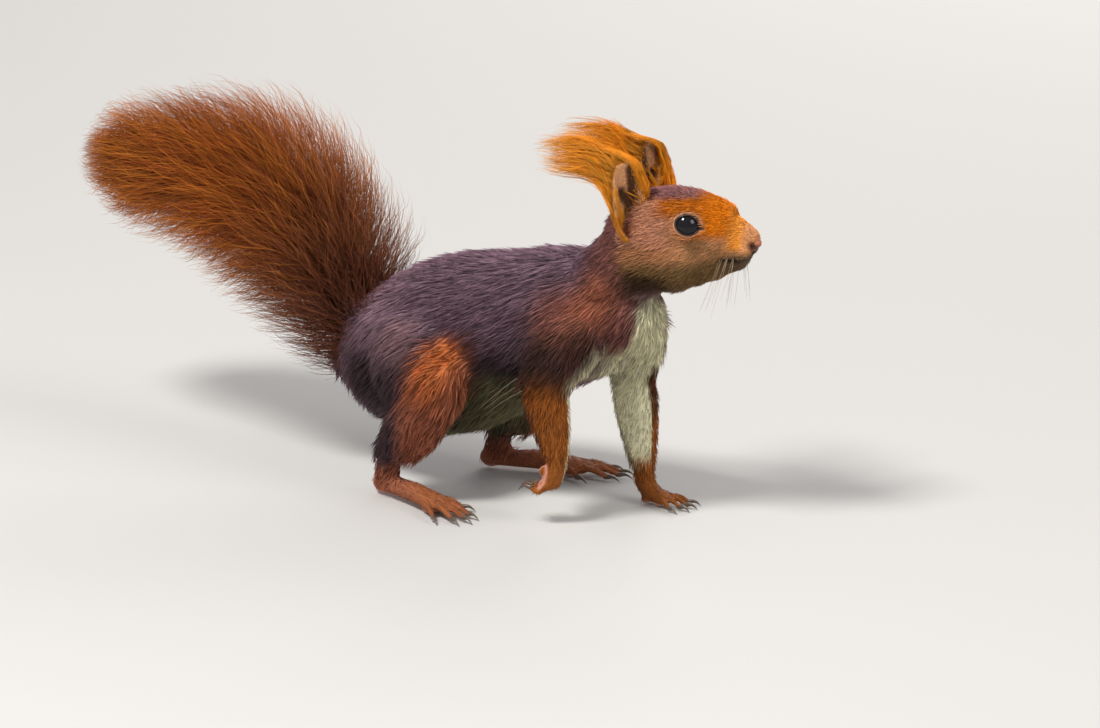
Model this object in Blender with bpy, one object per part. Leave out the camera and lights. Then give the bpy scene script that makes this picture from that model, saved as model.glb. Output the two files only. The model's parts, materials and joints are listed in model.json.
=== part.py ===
"""A red squirrel at life size, standing still on three feet with its right forefoot lifted.

The animal faces -Y, its left side is towards +X, and it stands on the floor at z = 0. Lengths are in
millimetres until a mesh is made, where MM turns them into metres. The solids reach out to the tips of
the coat. The whole flesh is melted into one closed surface, and then parted with thin cuts.
"""

import math

import bmesh
import bpy
import numpy as np
from mathutils import Matrix, Vector

MM = 0.001

# Gap left between neighbouring pieces.
GAP = 0.3

# The middle of the animal's box is moved over the origin by this much.
TO_ORIGIN = Vector((0.0, -19.8, 0.0))

# Head: the tip of the nose, and how far the face turns to the animal's left.
NOSE_TIP = Vector((12.0, -137.0, 114.0))
HEAD_TURN = math.radians(17.0)

# Eyeball: radius, and its centre beside, behind and above the tip of the nose.
EYE_RADIUS = 5.6
EYE_SIDE = 10.0
EYE_BACK = 25.6
EYE_UP = 6.8

# Nose pad: its middle behind and below the tip, and its half sizes.
NOSE_PAD_BACK = 1.6
NOSE_PAD_DROP = 1.2
NOSE_PAD_SIZE = (3.0, 2.5, 2.5)

# Ear: height above its root, thickness of the shell, and the root beside, behind and above the nose.
EAR_HEIGHT = 30.0
EAR_WALL = 1.5
EAR_SIDE = 14.5
EAR_BACK = 43.5
EAR_UP = 0.5
EAR_LEAN_OUT = math.radians(4.0)
# How far each ear leans back, and how far it is turned outwards (less than zero is inwards).
EAR_LEAN_BACK = {"left": math.radians(13.0), "right": math.radians(11.0)}
EAR_TURN = {"left": math.radians(-24.0), "right": math.radians(42.0)}
# The ear's shell at equal steps up from its root: radius of its curl, and the half angle it spans.
EAR_CURL = [(3.8, 135), (5.4, 104), (6.6, 76), (7.6, 58), (8.4, 47), (9.0, 37), (9.4, 28), (9.4, 15)]

# Hind foot: length from heel to claw bases, half width, and how far it points outwards.
HIND_FOOT_LENGTH = 36.0
HIND_FOOT_HALF_WIDTH = 6.2
HIND_FOOT_OUT = math.radians(17.0)
# The left hind foot stands this much further forward than the right one.
HIND_STRIDE = 10.0

# Lengths of a hind foot's toes beyond its sole, from the inner toe outwards, and their radius.
HIND_TOES = (7.0, 13.5, 15.5, 15.0, 11.0)
HIND_TOE_RADIUS = 1.95

# Forefoot: half width across the toe roots, lengths of the toes of the left foot, which stands, and
# of the right one, which is lifted and curls them, and their radius.
FORE_FOOT_HALF_WIDTH = 4.6
STANDING_TOES = (7.5, 9.5, 9.5, 7.5)
LIFTED_TOES = (7.0, 9.0, 9.0, 7.0)
FORE_TOE_RADIUS = 1.6

# How far a claw reaches past its toe on a hind foot, a standing forefoot and a lifted one.
HIND_CLAW = 5.0
STANDING_CLAW = 4.5
LIFTED_CLAW = 3.6

# Cells of the grids on which shapes are melted together.
BODY_CELL = 1.6
HEAD_CELL = 0.9
TAIL_CELL = 2.2
FOOT_CELL = 0.55

# Triangles aimed at for each melted shape.
BODY_TRIANGLES = 1460
HEAD_TRIANGLES = 950
TAIL_TRIANGLES = 600
EAR_TUFT_TRIANGLES = 190
HIND_FOOT_TRIANGLES = 460
FORE_FOOT_TRIANGLES = 380

SIDES = {"left": 1.0, "right": -1.0}

# Base colour and roughness of each kind of surface.
SURFACES = {
    "coat_back": ((0.07, 0.035, 0.035), 0.75),
    "coat_red": ((0.2, 0.065, 0.025), 0.75),
    "coat_orange": ((0.38, 0.13, 0.02), 0.75),
    "tail_hair": ((0.16, 0.045, 0.015), 0.8),
    "ear_tuft_hair": ((0.42, 0.16, 0.02), 0.8),
    "ear_skin": ((0.33, 0.14, 0.08), 0.6),
    "eye_dark": ((0.01, 0.008, 0.008), 0.08),
    "nose_skin": ((0.4, 0.16, 0.1), 0.45),
}


def clear_scene():
    for obj in list(bpy.data.objects):
        bpy.data.objects.remove(obj, do_unlink=True)


def give_material(obj, surface):
    """Gives the object a Principled material of its own for one kind of surface."""
    made = bpy.data.materials.new(f"{obj.name}_{surface}")
    made.use_nodes = True
    colour, roughness = SURFACES[surface]
    shader = made.node_tree.nodes["Principled BSDF"]
    shader.inputs["Base Color"].default_value = (*colour, 1.0)
    shader.inputs["Roughness"].default_value = roughness
    obj.data.materials.clear()
    obj.data.materials.append(made)


def add_object(name, mesh):
    obj = bpy.data.objects.new(name, mesh)
    bpy.context.scene.collection.objects.link(obj)
    return obj


def object_from(name, builder):
    """An object from a bmesh in millimetres, its faces turned outwards."""
    bmesh.ops.recalc_face_normals(builder, faces=builder.faces)
    mesh = bpy.data.meshes.new(name)
    builder.to_mesh(mesh)
    builder.free()
    mesh.transform(Matrix.Scale(MM, 4))
    return add_object(name, mesh)


def move(obj, matrix):
    """Moves the object's mesh by a matrix in millimetres."""
    place = matrix.copy()
    place.translation = matrix.translation * MM
    obj.data.transform(place)
    return obj


def spline(rows, share):
    """The row at a share from 0 to 1 of the way along the rows, on a Catmull-Rom curve."""
    rows = np.array(rows, float)
    place = share * (len(rows) - 1)
    at = min(int(place), len(rows) - 2)
    t = place - at
    start, end = rows[at], rows[at + 1]
    before = rows[max(at - 1, 0)]
    after = rows[min(at + 2, len(rows) - 1)]
    straight = 2 * start + (end - before) * t
    bend = 2 * before - 5 * start + 4 * end - after
    twist = 3 * start - before - 3 * end + after
    return 0.5 * (straight + bend * t**2 + twist * t**3)


def loft(rows, steps=20, sides=20):
    """A closed tube through rows of (x, y, z, half width, half depth), with domed ends.

    The half width lies across the animal, and the half depth across both it and the path.
    """
    builder = bmesh.new()
    stations = [spline(rows, i / steps) for i in range(steps + 1)]
    dome = [math.radians(angle) for angle in (84, 66, 48, 30, 14)]
    rings = []

    def add_ring(centre, side, up, width, depth):
        turns = [2 * math.pi * k / sides for k in range(sides)]
        places = [centre + side * width * math.cos(a) + up * depth * math.sin(a) for a in turns]
        rings.append([builder.verts.new(place) for place in places])

    for index, row in enumerate(stations):
        ahead = stations[min(index + 1, steps)]
        behind = stations[max(index - 1, 0)]
        along = Vector(ahead[:3] - behind[:3]).normalized()
        side = Vector((1, 0, 0))
        side = (side - side.dot(along) * along).normalized()
        up = along.cross(side)
        centre = Vector(row[:3])
        width, depth = row[3:]
        reach = min(width, depth)
        if index == 0:
            for a in dome:
                size = math.cos(a)
                add_ring(centre - along * reach * math.sin(a), side, up, width * size, depth * size)
        add_ring(centre, side, up, width, depth)
        if index == steps:
            for a in reversed(dome):
                size = math.cos(a)
                add_ring(centre + along * reach * math.sin(a), side, up, width * size, depth * size)
    for first, second in zip(rings, rings[1:]):
        for k in range(sides):
            after = (k + 1) % sides
            builder.faces.new((first[k], first[after], second[after], second[k]))
    builder.faces.new(rings[0])
    builder.faces.new(rings[-1])
    return object_from("loft", builder)


def ball(centre, radii, detail=3):
    """An ellipsoid."""
    builder = bmesh.new()
    shape = Matrix.Translation(Vector(centre)) @ Matrix.Diagonal((*radii, 1.0))
    bmesh.ops.create_icosphere(builder, subdivisions=detail, radius=1.0, matrix=shape)
    return object_from("ball", builder)


def apply_modifiers(obj):
    graph = bpy.context.evaluated_depsgraph_get()
    mesh = bpy.data.meshes.new_from_object(obj.evaluated_get(graph))
    obj.modifiers.clear()
    obj.data = mesh


def copy_of(obj):
    return add_object(obj.name + "_copy", obj.data.copy())


def discard(obj):
    bpy.data.objects.remove(obj, do_unlink=True)


def thin(obj, triangles):
    """Thins the mesh down to about a number of triangles."""
    count = sum(len(face.vertices) - 2 for face in obj.data.polygons)
    decimate = obj.modifiers.new("thin", "DECIMATE")
    decimate.ratio = min(1.0, triangles / count)
    apply_modifiers(obj)


def melted(pieces, cell, smoothing, triangles):
    """The pieces melted into one closed surface, smoothed and thinned. The pieces are used up."""
    builder = bmesh.new()
    for piece in pieces:
        builder.from_mesh(piece.data)
        discard(piece)
    mesh = bpy.data.meshes.new("melted")
    builder.to_mesh(mesh)
    builder.free()
    obj = add_object("melted", mesh)
    remesh = obj.modifiers.new("melt", "REMESH")
    remesh.mode = "VOXEL"
    remesh.voxel_size = cell * MM
    apply_modifiers(obj)
    smooth = obj.modifiers.new("smooth", "SMOOTH")
    smooth.factor = 0.5
    smooth.iterations = smoothing
    apply_modifiers(obj)
    thin(obj, triangles)
    return obj


def grown(obj, amount):
    """A copy of the object whose surface is pushed out by an amount."""
    wide = copy_of(obj)
    push = wide.modifiers.new("push", "DISPLACE")
    push.mid_level = 0.0
    push.strength = amount * MM
    apply_modifiers(wide)
    return wide


def boolean(obj, other, operation):
    """Changes the object by an exact Boolean with the other, which stays as it is."""
    cut = obj.modifiers.new("cut", "BOOLEAN")
    cut.operation = operation
    cut.solver = "EXACT"
    cut.object = other
    apply_modifiers(obj)
    return obj


def clear_of(obj, other, gap=GAP):
    """Cuts the object back so that it keeps a gap to the other."""
    wide = grown(other, gap)
    boolean(obj, wide, "DIFFERENCE")
    discard(wide)
    return obj


def below_plane(obj, point, normal, inset):
    """A copy of the part of the object behind a plane, which is moved back by inset."""
    normal = Vector(normal).normalized()
    builder = bmesh.new()
    builder.from_mesh(obj.data)
    bmesh.ops.bisect_plane(
        builder,
        geom=builder.verts[:] + builder.edges[:] + builder.faces[:],
        plane_co=(Vector(point) - normal * inset) * MM,
        plane_no=normal,
        clear_outer=True,
    )
    rim = [edge for edge in builder.edges if edge.is_boundary]
    caps = bmesh.ops.holes_fill(builder, edges=rim, sides=0)["faces"]
    bmesh.ops.triangulate(builder, faces=caps)
    mesh = bpy.data.meshes.new("half")
    builder.to_mesh(mesh)
    builder.free()
    return add_object("half", mesh)


def halves(obj, point, normal):
    """The parts of the object behind and in front of a plane, with the gap between. It is used up."""
    behind = below_plane(obj, point, normal, GAP / 2)
    front = below_plane(obj, point, -Vector(normal), GAP / 2)
    discard(obj)
    return behind, front


def limb_region(side, top, bottom, grow):
    """A closed hull around one limb. Top and bottom are (inner x, y, z, radius) of its two round ends."""
    builder = bmesh.new()
    outer_x = 60.0
    steps = 12
    for inner_x, y, z, radius in (top, bottom):
        for k in range(steps):
            angle = 2 * math.pi * k / steps
            place_y = y + (radius + grow) * math.cos(angle)
            place_z = z + (radius + grow) * math.sin(angle)
            builder.verts.new((side * (inner_x - grow), place_y, place_z))
            builder.verts.new((side * (outer_x + grow), place_y, place_z))
    hull = bmesh.ops.convex_hull(builder, input=builder.verts[:])
    loose = {v for v in hull["geom_interior"] + hull["geom_unused"] if isinstance(v, bmesh.types.BMVert)}
    bmesh.ops.delete(builder, geom=list(loose), context="VERTS")
    return object_from("region", builder)


def split_limb(flesh, side, top, bottom):
    """Takes one limb out of the flesh and gives it back."""
    limb = copy_of(flesh)
    inner = limb_region(side, top, bottom, 0.0)
    outer = limb_region(side, top, bottom, GAP)
    boolean(limb, inner, "INTERSECT")
    boolean(flesh, outer, "DIFFERENCE")
    discard(inner)
    discard(outer)
    return limb


def finished(obj, name, surface):
    """Names the object, moves it to its place over the origin, and gives it its material."""
    obj.name = name
    move(obj, Matrix.Translation(TO_ORIGIN))
    give_material(obj, surface)
    obj.data.shade_smooth()
    obj.data.set_sharp_from_angle(angle=math.radians(50))
    return obj


# Trunk and neck
TRUNK_SPINE = [
    (0, 46, 42, 10, 12),
    (0, 36, 44, 20, 23.5),
    (0, 20, 48, 25.5, 31),
    (0, 0, 54, 27, 35),
    (0, -20, 62.5, 26, 33.5),
    (0, -40, 70.5, 25, 29),
    (0, -60, 76, 24, 27.5),
    (0, -76, 80, 20, 24),
    (0, -84, 80, 16, 18),
]
NECK_SPINE = [
    (0, -58, 82, 18, 18),
    (0, -72, 88.3, 17.5, 17),
    (-1, -84, 98.3, 16.5, 16.5),
    (-3, -93.5, 107, 15, 17.5),
]


def head_place():
    return Matrix.Translation(NOSE_TIP) @ Matrix.Rotation(HEAD_TURN, 4, "Z")


# Skull, from the nose back to the nape, beside, behind and above the tip of the nose, and the softer
# forms on it, each as its middle and half sizes.
SKULL_SPINE = [
    (0, 3.0, 0.6, 3.6, 4.8),
    (0, 5.0, 0.5, 5.8, 7.8),
    (0, 8.5, -0.2, 8.0, 11.9),
    (0, 13.5, 0.1, 10.2, 15.1),
    (0, 20, -0.1, 12.6, 17.4),
    (0, 28, -0.1, 15.0, 19.1),
    (0, 36, -0.4, 16.6, 19.2),
    (0, 43, -1.2, 16.4, 17.9),
    (0, 48, -3.0, 14.0, 15.0),
]


WHISKER_PAD = ((3.6, 7.4, -3.2), (4.3, 6.0, 4.4))
CHEEK = ((9.0, 33, -8.5), (8.6, 15, 12.4))
BROW = ((8.0, 25.5, 10.2), (5.2, 9.0, 4.6))
CHIN = ((0, 10.4, -8.4), (4.6, 6.2, 4.0))


def head_pieces():
    pieces = [loft(SKULL_SPINE, steps=28), ball(*CHIN)]
    for side in SIDES.values():
        for (x, y, z), size in (WHISKER_PAD, CHEEK, BROW):
            pieces.append(ball((side * x, y, z), size))
    return [move(piece, head_place()) for piece in pieces]


def eye_centre(side):
    return (side * EYE_SIDE, EYE_BACK, EYE_UP)


def nose_pad(extra):
    middle = (0, NOSE_PAD_BACK, -NOSE_PAD_DROP)
    size = [half + extra for half in NOSE_PAD_SIZE]
    return move(ball(middle, size, detail=2), head_place())


def ear_shell(side_name):
    """The curled shell of one ear: a funnel at its root that opens forwards into a leaf."""
    side = SIDES[side_name]
    builder = bmesh.new()
    levels = 9
    columns = 9
    front, back = [], []
    for i in range(levels + 1):
        share = i / levels
        curl, span = spline(EAR_CURL, share)
        span = math.radians(span)
        for j in range(columns + 1):
            angle = span * (2 * j / columns - 1)
            wall = EAR_WALL * (1 - 0.35 * (angle / span) ** 2) * (1 - 0.3 * share)
            for surface, radius in ((front, curl), (back, curl + wall)):
                across = radius * math.sin(angle)
                behind = radius * math.cos(angle) - curl * math.cos(span)
                surface.append(builder.verts.new((across, behind, EAR_HEIGHT * share)))
    row = columns + 1
    for i in range(levels):
        for j in range(columns):
            a = i * row + j
            builder.faces.new((front[a], front[a + 1], front[a + row + 1], front[a + row]))
            builder.faces.new((back[a], back[a + row], back[a + row + 1], back[a + 1]))
        for a in (i * row, i * row + columns):
            builder.faces.new((front[a], front[a + row], back[a + row], back[a]))
    for start in (0, levels * row):
        for j in range(columns):
            a = start + j
            builder.faces.new((front[a], front[a + 1], back[a + 1], back[a]))
    shell = object_from("ear", builder)
    turn = Matrix.Rotation(side * EAR_TURN[side_name], 4, "Z")
    lean_back = Matrix.Rotation(-EAR_LEAN_BACK[side_name], 4, "X")
    lean_out = Matrix.Rotation(side * EAR_LEAN_OUT, 4, "Y")
    root = Matrix.Translation((side * EAR_SIDE, EAR_BACK, EAR_UP))
    return move(shell, head_place() @ root @ lean_back @ lean_out @ turn)


def ear_tuft(side):
    """The long hair of one ear, swept back level from the ear's upper half."""
    path = [
        (side * 12.6, 55, 14, 3.6, 3),
        (side * 12.6, 55.5, 22, 5.0, 5.5),
        (side * 12.4, 61, 30, 5.5, 8.5),
        (side * 12.0, 69, 32, 5.5, 8),
        (side * 11.0, 81, 31, 4.2, 6.5),
        (side * 10.0, 89, 30.5, 2.0, 3),
    ]
    tuft = loft(path, steps=14, sides=12)
    thin(tuft, EAR_TUFT_TRIANGLES)
    return move(tuft, head_place())


# Hind legs
def hind_leg_pieces(side, stride):
    """Thigh and shank of one hind leg, moved forward by the stride."""
    thigh = [
        (side * 13, 13 - stride, 53, 14, 22),
        (side * 19, 4 - stride, 52, 15, 23),
        (side * 25, -9 - stride, 50, 13.5, 19),
        (side * 29, -18 - stride, 48, 10.5, 12.5),
    ]
    shank = [
        (side * 30, -17 - stride, 45, 9.5, 12),
        (side * 30, -7 - stride, 33, 9.5, 14),
        (side * 29, 2 - stride, 21, 8, 11),
        (side * 28.5, 6 - stride, 10, 5.6, 7.5),
    ]
    return [loft(thigh, steps=14), loft(shank, steps=14)]


def toe(root, knuckle, tip, radius, claw):
    """One toe, bent at its knuckle, and its claw, which curves on past the tip."""
    root, knuckle, tip, claw = (Vector(v) for v in (root, knuckle, tip, claw))
    finger = [
        (*root, radius, radius),
        (*knuckle, radius, radius),
        (*tip, radius * 0.92, radius * 0.92),
    ]
    middle = tip.lerp(claw, 0.5) + Vector((0, 0, 0.7))
    nail = [
        (*tip, radius * 0.6, radius * 0.62),
        (*middle, radius * 0.42, radius * 0.5),
        (*claw, 0.28, 0.28),
    ]
    return [loft(finger, steps=8, sides=12), loft(nail, steps=8, sides=10)]


def flattened(foot):
    """Cuts the foot off flat at the floor."""
    flat = below_plane(foot, (0, 0, 0), (0, 0, -1), 0.0)
    discard(foot)
    return flat


def hind_foot(side, stride):
    """A long hind foot with five toes, its heel, ball and toe tips on the floor."""
    sole = [
        (0, 3.5, 4.6, 4.6, 4.6),
        (0, -6, 5.6, 5.0, 5.0),
        (0, -18, 5.2, 5.4, 4.4),
        (0, -30, 4.2, 6.6, 3.8),
        (0, -HIND_FOOT_LENGTH, 3.8, HIND_FOOT_HALF_WIDTH, 3.2),
    ]
    ankle = [(0, 0, 7, 5.0, 6.2), (0, -1, 15, 5.8, 7.6)]
    pieces = [loft(sole), loft(ankle, steps=6)]
    for index, length in enumerate(HIND_TOES):
        spread = (index - 2) / 2
        root_x = side * spread * HIND_FOOT_HALF_WIDTH * 0.8
        tip_x = side * spread * HIND_FOOT_HALF_WIDTH * 1.5
        back = 5.0 * spread**2 if spread < 0 else 2.5 * spread**2
        root = (root_x, -HIND_FOOT_LENGTH + back + 2, 3.6)
        knuckle = ((root_x + tip_x) / 2, root[1] - length * 0.5, 4.1)
        tip = (tip_x, root[1] - length, 1.75)
        claw = (tip_x * 1.06, tip[1] - HIND_CLAW, 0.9)
        pieces += toe(root, knuckle, tip, HIND_TOE_RADIUS, claw)
    # Pads under the heel and the ball of the foot.
    pieces.append(ball((0, 2.5, 2.0), (3.4, 3.8, 2.4)))
    for x in (-3.4, 0, 3.4):
        pieces.append(ball((x, -31, 1.8), (2.2, 3.2, 2.2)))
    foot = melted(pieces, FOOT_CELL, 2, HIND_FOOT_TRIANGLES)
    turn = Matrix.Rotation(side * HIND_FOOT_OUT, 4, "Z")
    heel = Matrix.Translation((side * 28, 9 - stride, 0))
    return flattened(move(foot, heel @ turn))


def fore_leg_pieces(shoulder, elbow, wrist):
    shoulder, elbow, wrist = (Vector(v) for v in (shoulder, elbow, wrist))
    upper = [
        (*shoulder, 10, 15),
        (*shoulder.lerp(elbow, 0.5), 10.5, 14),
        (*elbow, 9, 11),
    ]
    lower = [
        (*elbow, 9, 10.5),
        (*elbow.lerp(wrist, 0.45), 8, 9.5),
        (*wrist, 5.4, 6),
    ]
    return [loft(upper, steps=12), loft(lower, steps=12)]


# Joints of the two forelegs: the right one is lifted, the left one stands.
RIGHT_SHOULDER = (-17, -72, 74)
RIGHT_ELBOW = (-25, -62.5, 54.5)
RIGHT_WRIST = (-25, -69.5, 27)
LEFT_SHOULDER = (17, -76, 74)
LEFT_ELBOW = (24, -68, 50)
LEFT_WRIST = (22, -75, 14)


def standing_forefoot():
    """The left forefoot: palm and four toes laid forward on the floor."""
    x, y, z = LEFT_WRIST
    palm = [
        (x, y, z + 3, 5.2, 5.6),
        (x, y - 0.5, z - 5, 4.6, 5.0),
        (x, y - 5, 4.4, 4.8, 3.8),
        (x, y - 10, 3.6, 5.0, 2.9),
    ]
    pieces = [loft(palm, steps=14)]
    for index, length in enumerate(STANDING_TOES):
        spread = (index - 1.5) / 1.5
        root = (x + spread * FORE_FOOT_HALF_WIDTH * 0.75, y - 9.5, 3.0)
        tip = (x + spread * FORE_FOOT_HALF_WIDTH * 1.35, root[1] - length, 1.5)
        knuckle = ((root[0] + tip[0]) / 2, root[1] - length * 0.5, 3.7)
        claw = (x + spread * FORE_FOOT_HALF_WIDTH * 1.45, tip[1] - STANDING_CLAW, 0.8)
        pieces += toe(root, knuckle, tip, FORE_TOE_RADIUS, claw)
    # Pads under the palm and the toe roots.
    for side in (-1, 1):
        pieces.append(ball((x + side * 2.2, y - 2.5, 1.9), (2.3, 2.8, 2.2)))
        pieces.append(ball((x + side * 2.4, y - 9.5, 1.6), (2.2, 2.4, 1.9)))
    return flattened(melted(pieces, FOOT_CELL, 2, FORE_FOOT_TRIANGLES))


def lifted_forefoot():
    """The right forefoot: hanging from the wrist, palm turned back and toes curled."""
    x, y, z = RIGHT_WRIST
    palm = [
        (x, y, z + 3, 5.2, 5.6),
        (x, y + 0.5, z - 4, 4.8, 5.0),
        (x, y + 2.0, z - 10, 5.0, 3.8),
    ]
    pieces = [loft(palm, steps=12)]
    for index, length in enumerate(LIFTED_TOES):
        spread = (index - 1.5) / 1.5
        root = (x + spread * FORE_FOOT_HALF_WIDTH * 0.75, y + 2.5, z - 10.5)
        knuckle = (x + spread * FORE_FOOT_HALF_WIDTH * 0.95, root[1] + length * 0.45, root[2] - 3.4)
        tip = (x + spread * FORE_FOOT_HALF_WIDTH * 1.1, root[1] + length, root[2] - 1.6)
        claw = (tip[0], tip[1] + LIFTED_CLAW, tip[2] - 2.6)
        pieces += toe(root, knuckle, tip, FORE_TOE_RADIUS, claw)
    # Pads of the palm, which faces back.
    for side in (-1, 1):
        pieces.append(ball((x + side * 2.2, y + 5.6, z - 5.5), (2.2, 2.0, 2.8)))
    return melted(pieces, FOOT_CELL, 2, FORE_FOOT_TRIANGLES)


# Tail: middle line and half sizes of the whole brush of hair.
TAIL_SPINE = [
    (0, 36, 46, 20, 21),
    (0, 50, 66, 30, 35),
    (0, 65, 85, 37, 41),
    (0, 85, 98.5, 39, 42),
    (0, 108, 104.5, 38, 38),
    (0, 134, 104.5, 32, 31),
    (0, 155, 103.2, 24, 24),
    (0, 166.8, 101.4, 11, 12),
]
# Shares of the way along the tail where it is parted.
TAIL_CUTS = (0.33, 0.66)


def tail_cut(share):
    """Point and direction of a cut straight across the tail."""
    point = Vector(spline(TAIL_SPINE, share)[:3])
    ahead = Vector(spline(TAIL_SPINE, share + 0.01)[:3])
    return point, ahead - point


clear_scene()

# The flesh of the trunk, neck and legs, and a finer one of the head on its neck.
whole = [loft(TRUNK_SPINE, steps=28, sides=28), loft(NECK_SPINE)] + head_pieces()
whole += hind_leg_pieces(SIDES["right"], 0.0)
whole += hind_leg_pieces(SIDES["left"], HIND_STRIDE)
whole += fore_leg_pieces(RIGHT_SHOULDER, RIGHT_ELBOW, RIGHT_WRIST)
whole += fore_leg_pieces(LEFT_SHOULDER, LEFT_ELBOW, LEFT_WRIST)
flesh = melted(whole, BODY_CELL, 6, BODY_TRIANGLES)
head_flesh = melted([loft(NECK_SPINE)] + head_pieces(), HEAD_CELL, 5, HEAD_TRIANGLES)

# Tail, parted across into three lengths; its root is hollowed to fit the rump.
brush = clear_of(melted([loft(TAIL_SPINE)], TAIL_CELL, 4, TAIL_TRIANGLES), flesh)
brush_root, brush_rest = halves(brush, *tail_cut(TAIL_CUTS[0]))
brush_middle, brush_end = halves(brush_rest, *tail_cut(TAIL_CUTS[1]))
finished(brush_root, "tail_base", "tail_hair")
finished(brush_middle, "tail_middle", "tail_hair")
finished(brush_end, "tail_end", "tail_hair")

# Legs: each is taken out of the flesh and parted at its knee or elbow, and its foot at its ankle or wrist.
# A cut is a point and a direction; a round end of a limb is its inner x, y, z and radius.
KNEE_CUT = ((0, 0, 32), (0, -0.45, 1))
ANKLE_CUT = ((0, 0, 13.5), (0, 0, 1))
ELBOW_DIRECTION = (0, 0.25, 1)
WRIST_DIRECTION = (0, 0, 1)
HIP_INNER_X, HIP_RADIUS = 18, 28
HEEL_INNER_X, HEEL_RADIUS = 20, 16
SHOULDER_INNER_X, SHOULDER_RADIUS = 16, 17
PAW_INNER_X, PAW_RADIUS = 9, 18
for side_name, stride in (("right", 0.0), ("left", HIND_STRIDE)):
    side = SIDES[side_name]
    hip = (HIP_INNER_X, 1 - stride, 51, HIP_RADIUS)
    heel = (HEEL_INNER_X, -1 - stride, 2, HEEL_RADIUS)
    leg = split_limb(flesh, side, hip, heel)
    knee = Vector(KNEE_CUT[0]) - Vector((0, stride, 0))
    shank, thigh = halves(leg, knee, KNEE_CUT[1])
    shank_end, shank = halves(shank, *ANKLE_CUT)
    discard(shank_end)
    foot, foot_top = halves(hind_foot(side, stride), *ANKLE_CUT)
    discard(foot_top)
    finished(thigh, f"thigh_{side_name}", "coat_red")
    finished(shank, f"shank_{side_name}", "coat_red")
    finished(foot, f"hind_foot_{side_name}", "coat_orange")

for side_name, shoulder, elbow, wrist, forefoot in (
    ("right", RIGHT_SHOULDER, RIGHT_ELBOW, RIGHT_WRIST, lifted_forefoot()),
    ("left", LEFT_SHOULDER, LEFT_ELBOW, LEFT_WRIST, standing_forefoot()),
):
    side = SIDES[side_name]
    top = (SHOULDER_INNER_X, shoulder[1] + 3, shoulder[2] - 2, SHOULDER_RADIUS)
    bottom = (PAW_INNER_X, (elbow[1] + wrist[1]) / 2, wrist[2] - 8, PAW_RADIUS)
    leg = split_limb(flesh, side, top, bottom)
    forearm, upper_arm = halves(leg, elbow, ELBOW_DIRECTION)
    forearm_end, forearm = halves(forearm, wrist, WRIST_DIRECTION)
    discard(forearm_end)
    paw, paw_top = halves(forefoot, wrist, WRIST_DIRECTION)
    discard(paw_top)
    finished(upper_arm, f"upper_arm_{side_name}", "coat_back")
    finished(forearm, f"forearm_{side_name}", "coat_red")
    finished(paw, f"forefoot_{side_name}", "coat_orange")

# Trunk and neck, parted across.
WAIST_CUT = ((0, -38, 70), (0, -1, 0.1))
SHOULDER_CUT = ((0, -78, 94), (0, -0.6, 0.8))
NECK_CUT = ((-1, -91, 101), (0.1, -0.72, 0.7))
loins, fore_body = halves(flesh, *WAIST_CUT)
chest, neck_and_head = halves(fore_body, *SHOULDER_CUT)
neck, coarse_head = halves(neck_and_head, *NECK_CUT)
discard(coarse_head)
neck_end, head = halves(head_flesh, *NECK_CUT)
discard(neck_end)
finished(loins, "loins", "coat_back")
finished(chest, "chest", "coat_back")
finished(neck, "neck", "coat_back")

# Ears and their tufts.
for side_name, side in SIDES.items():
    ear = clear_of(ear_shell(side_name), head)
    tuft = clear_of(ear_tuft(side), ear)
    finished(ear, f"ear_{side_name}", "ear_skin")
    finished(tuft, f"ear_tuft_{side_name}", "ear_tuft_hair")

# Nose pad and eyes, each in a socket of the head.
socket = nose_pad(GAP)
boolean(head, socket, "DIFFERENCE")
discard(socket)
finished(nose_pad(0.0), "nose", "nose_skin")
for side_name, side in SIDES.items():
    socket = move(ball(eye_centre(side), [EYE_RADIUS + GAP] * 3), head_place())
    boolean(head, socket, "DIFFERENCE")
    discard(socket)
    eye = move(ball(eye_centre(side), [EYE_RADIUS] * 3, detail=3), head_place())
    finished(eye, f"eye_{side_name}", "eye_dark")
finished(head, "head", "coat_orange")
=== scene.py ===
import json
import math

import bmesh
import bpy
import numpy as np
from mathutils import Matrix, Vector
from mathutils.bvhtree import BVHTree
from mathutils.kdtree import KDTree

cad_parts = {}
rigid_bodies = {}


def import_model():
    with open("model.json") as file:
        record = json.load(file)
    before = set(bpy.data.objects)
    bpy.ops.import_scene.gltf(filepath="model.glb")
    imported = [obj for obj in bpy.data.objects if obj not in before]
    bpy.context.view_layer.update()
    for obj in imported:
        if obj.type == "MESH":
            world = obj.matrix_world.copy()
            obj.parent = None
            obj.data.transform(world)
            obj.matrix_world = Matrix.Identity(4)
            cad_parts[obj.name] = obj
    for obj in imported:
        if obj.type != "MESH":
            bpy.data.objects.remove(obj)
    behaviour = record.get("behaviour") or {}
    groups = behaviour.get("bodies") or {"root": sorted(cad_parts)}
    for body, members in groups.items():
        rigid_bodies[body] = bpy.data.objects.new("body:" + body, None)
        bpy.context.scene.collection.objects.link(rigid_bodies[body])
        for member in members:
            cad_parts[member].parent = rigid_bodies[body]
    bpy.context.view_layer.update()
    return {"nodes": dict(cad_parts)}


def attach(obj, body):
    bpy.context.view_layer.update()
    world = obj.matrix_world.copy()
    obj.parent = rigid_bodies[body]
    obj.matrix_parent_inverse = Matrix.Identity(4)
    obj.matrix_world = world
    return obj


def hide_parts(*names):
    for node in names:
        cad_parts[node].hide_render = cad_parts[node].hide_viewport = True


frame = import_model()

# ---------------------------------------------------------------------------------------------------
# Skin: the whole tanned hide in one closed piece, drawn over trunk, neck, head, ears, legs, feet and
# tail bones, and bare on lids, soles and nose. It takes the CAD solids' own shape, melted together
# without their gaps and sunk by the coat's depth.
# ---------------------------------------------------------------------------------------------------
MM = 0.001
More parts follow.
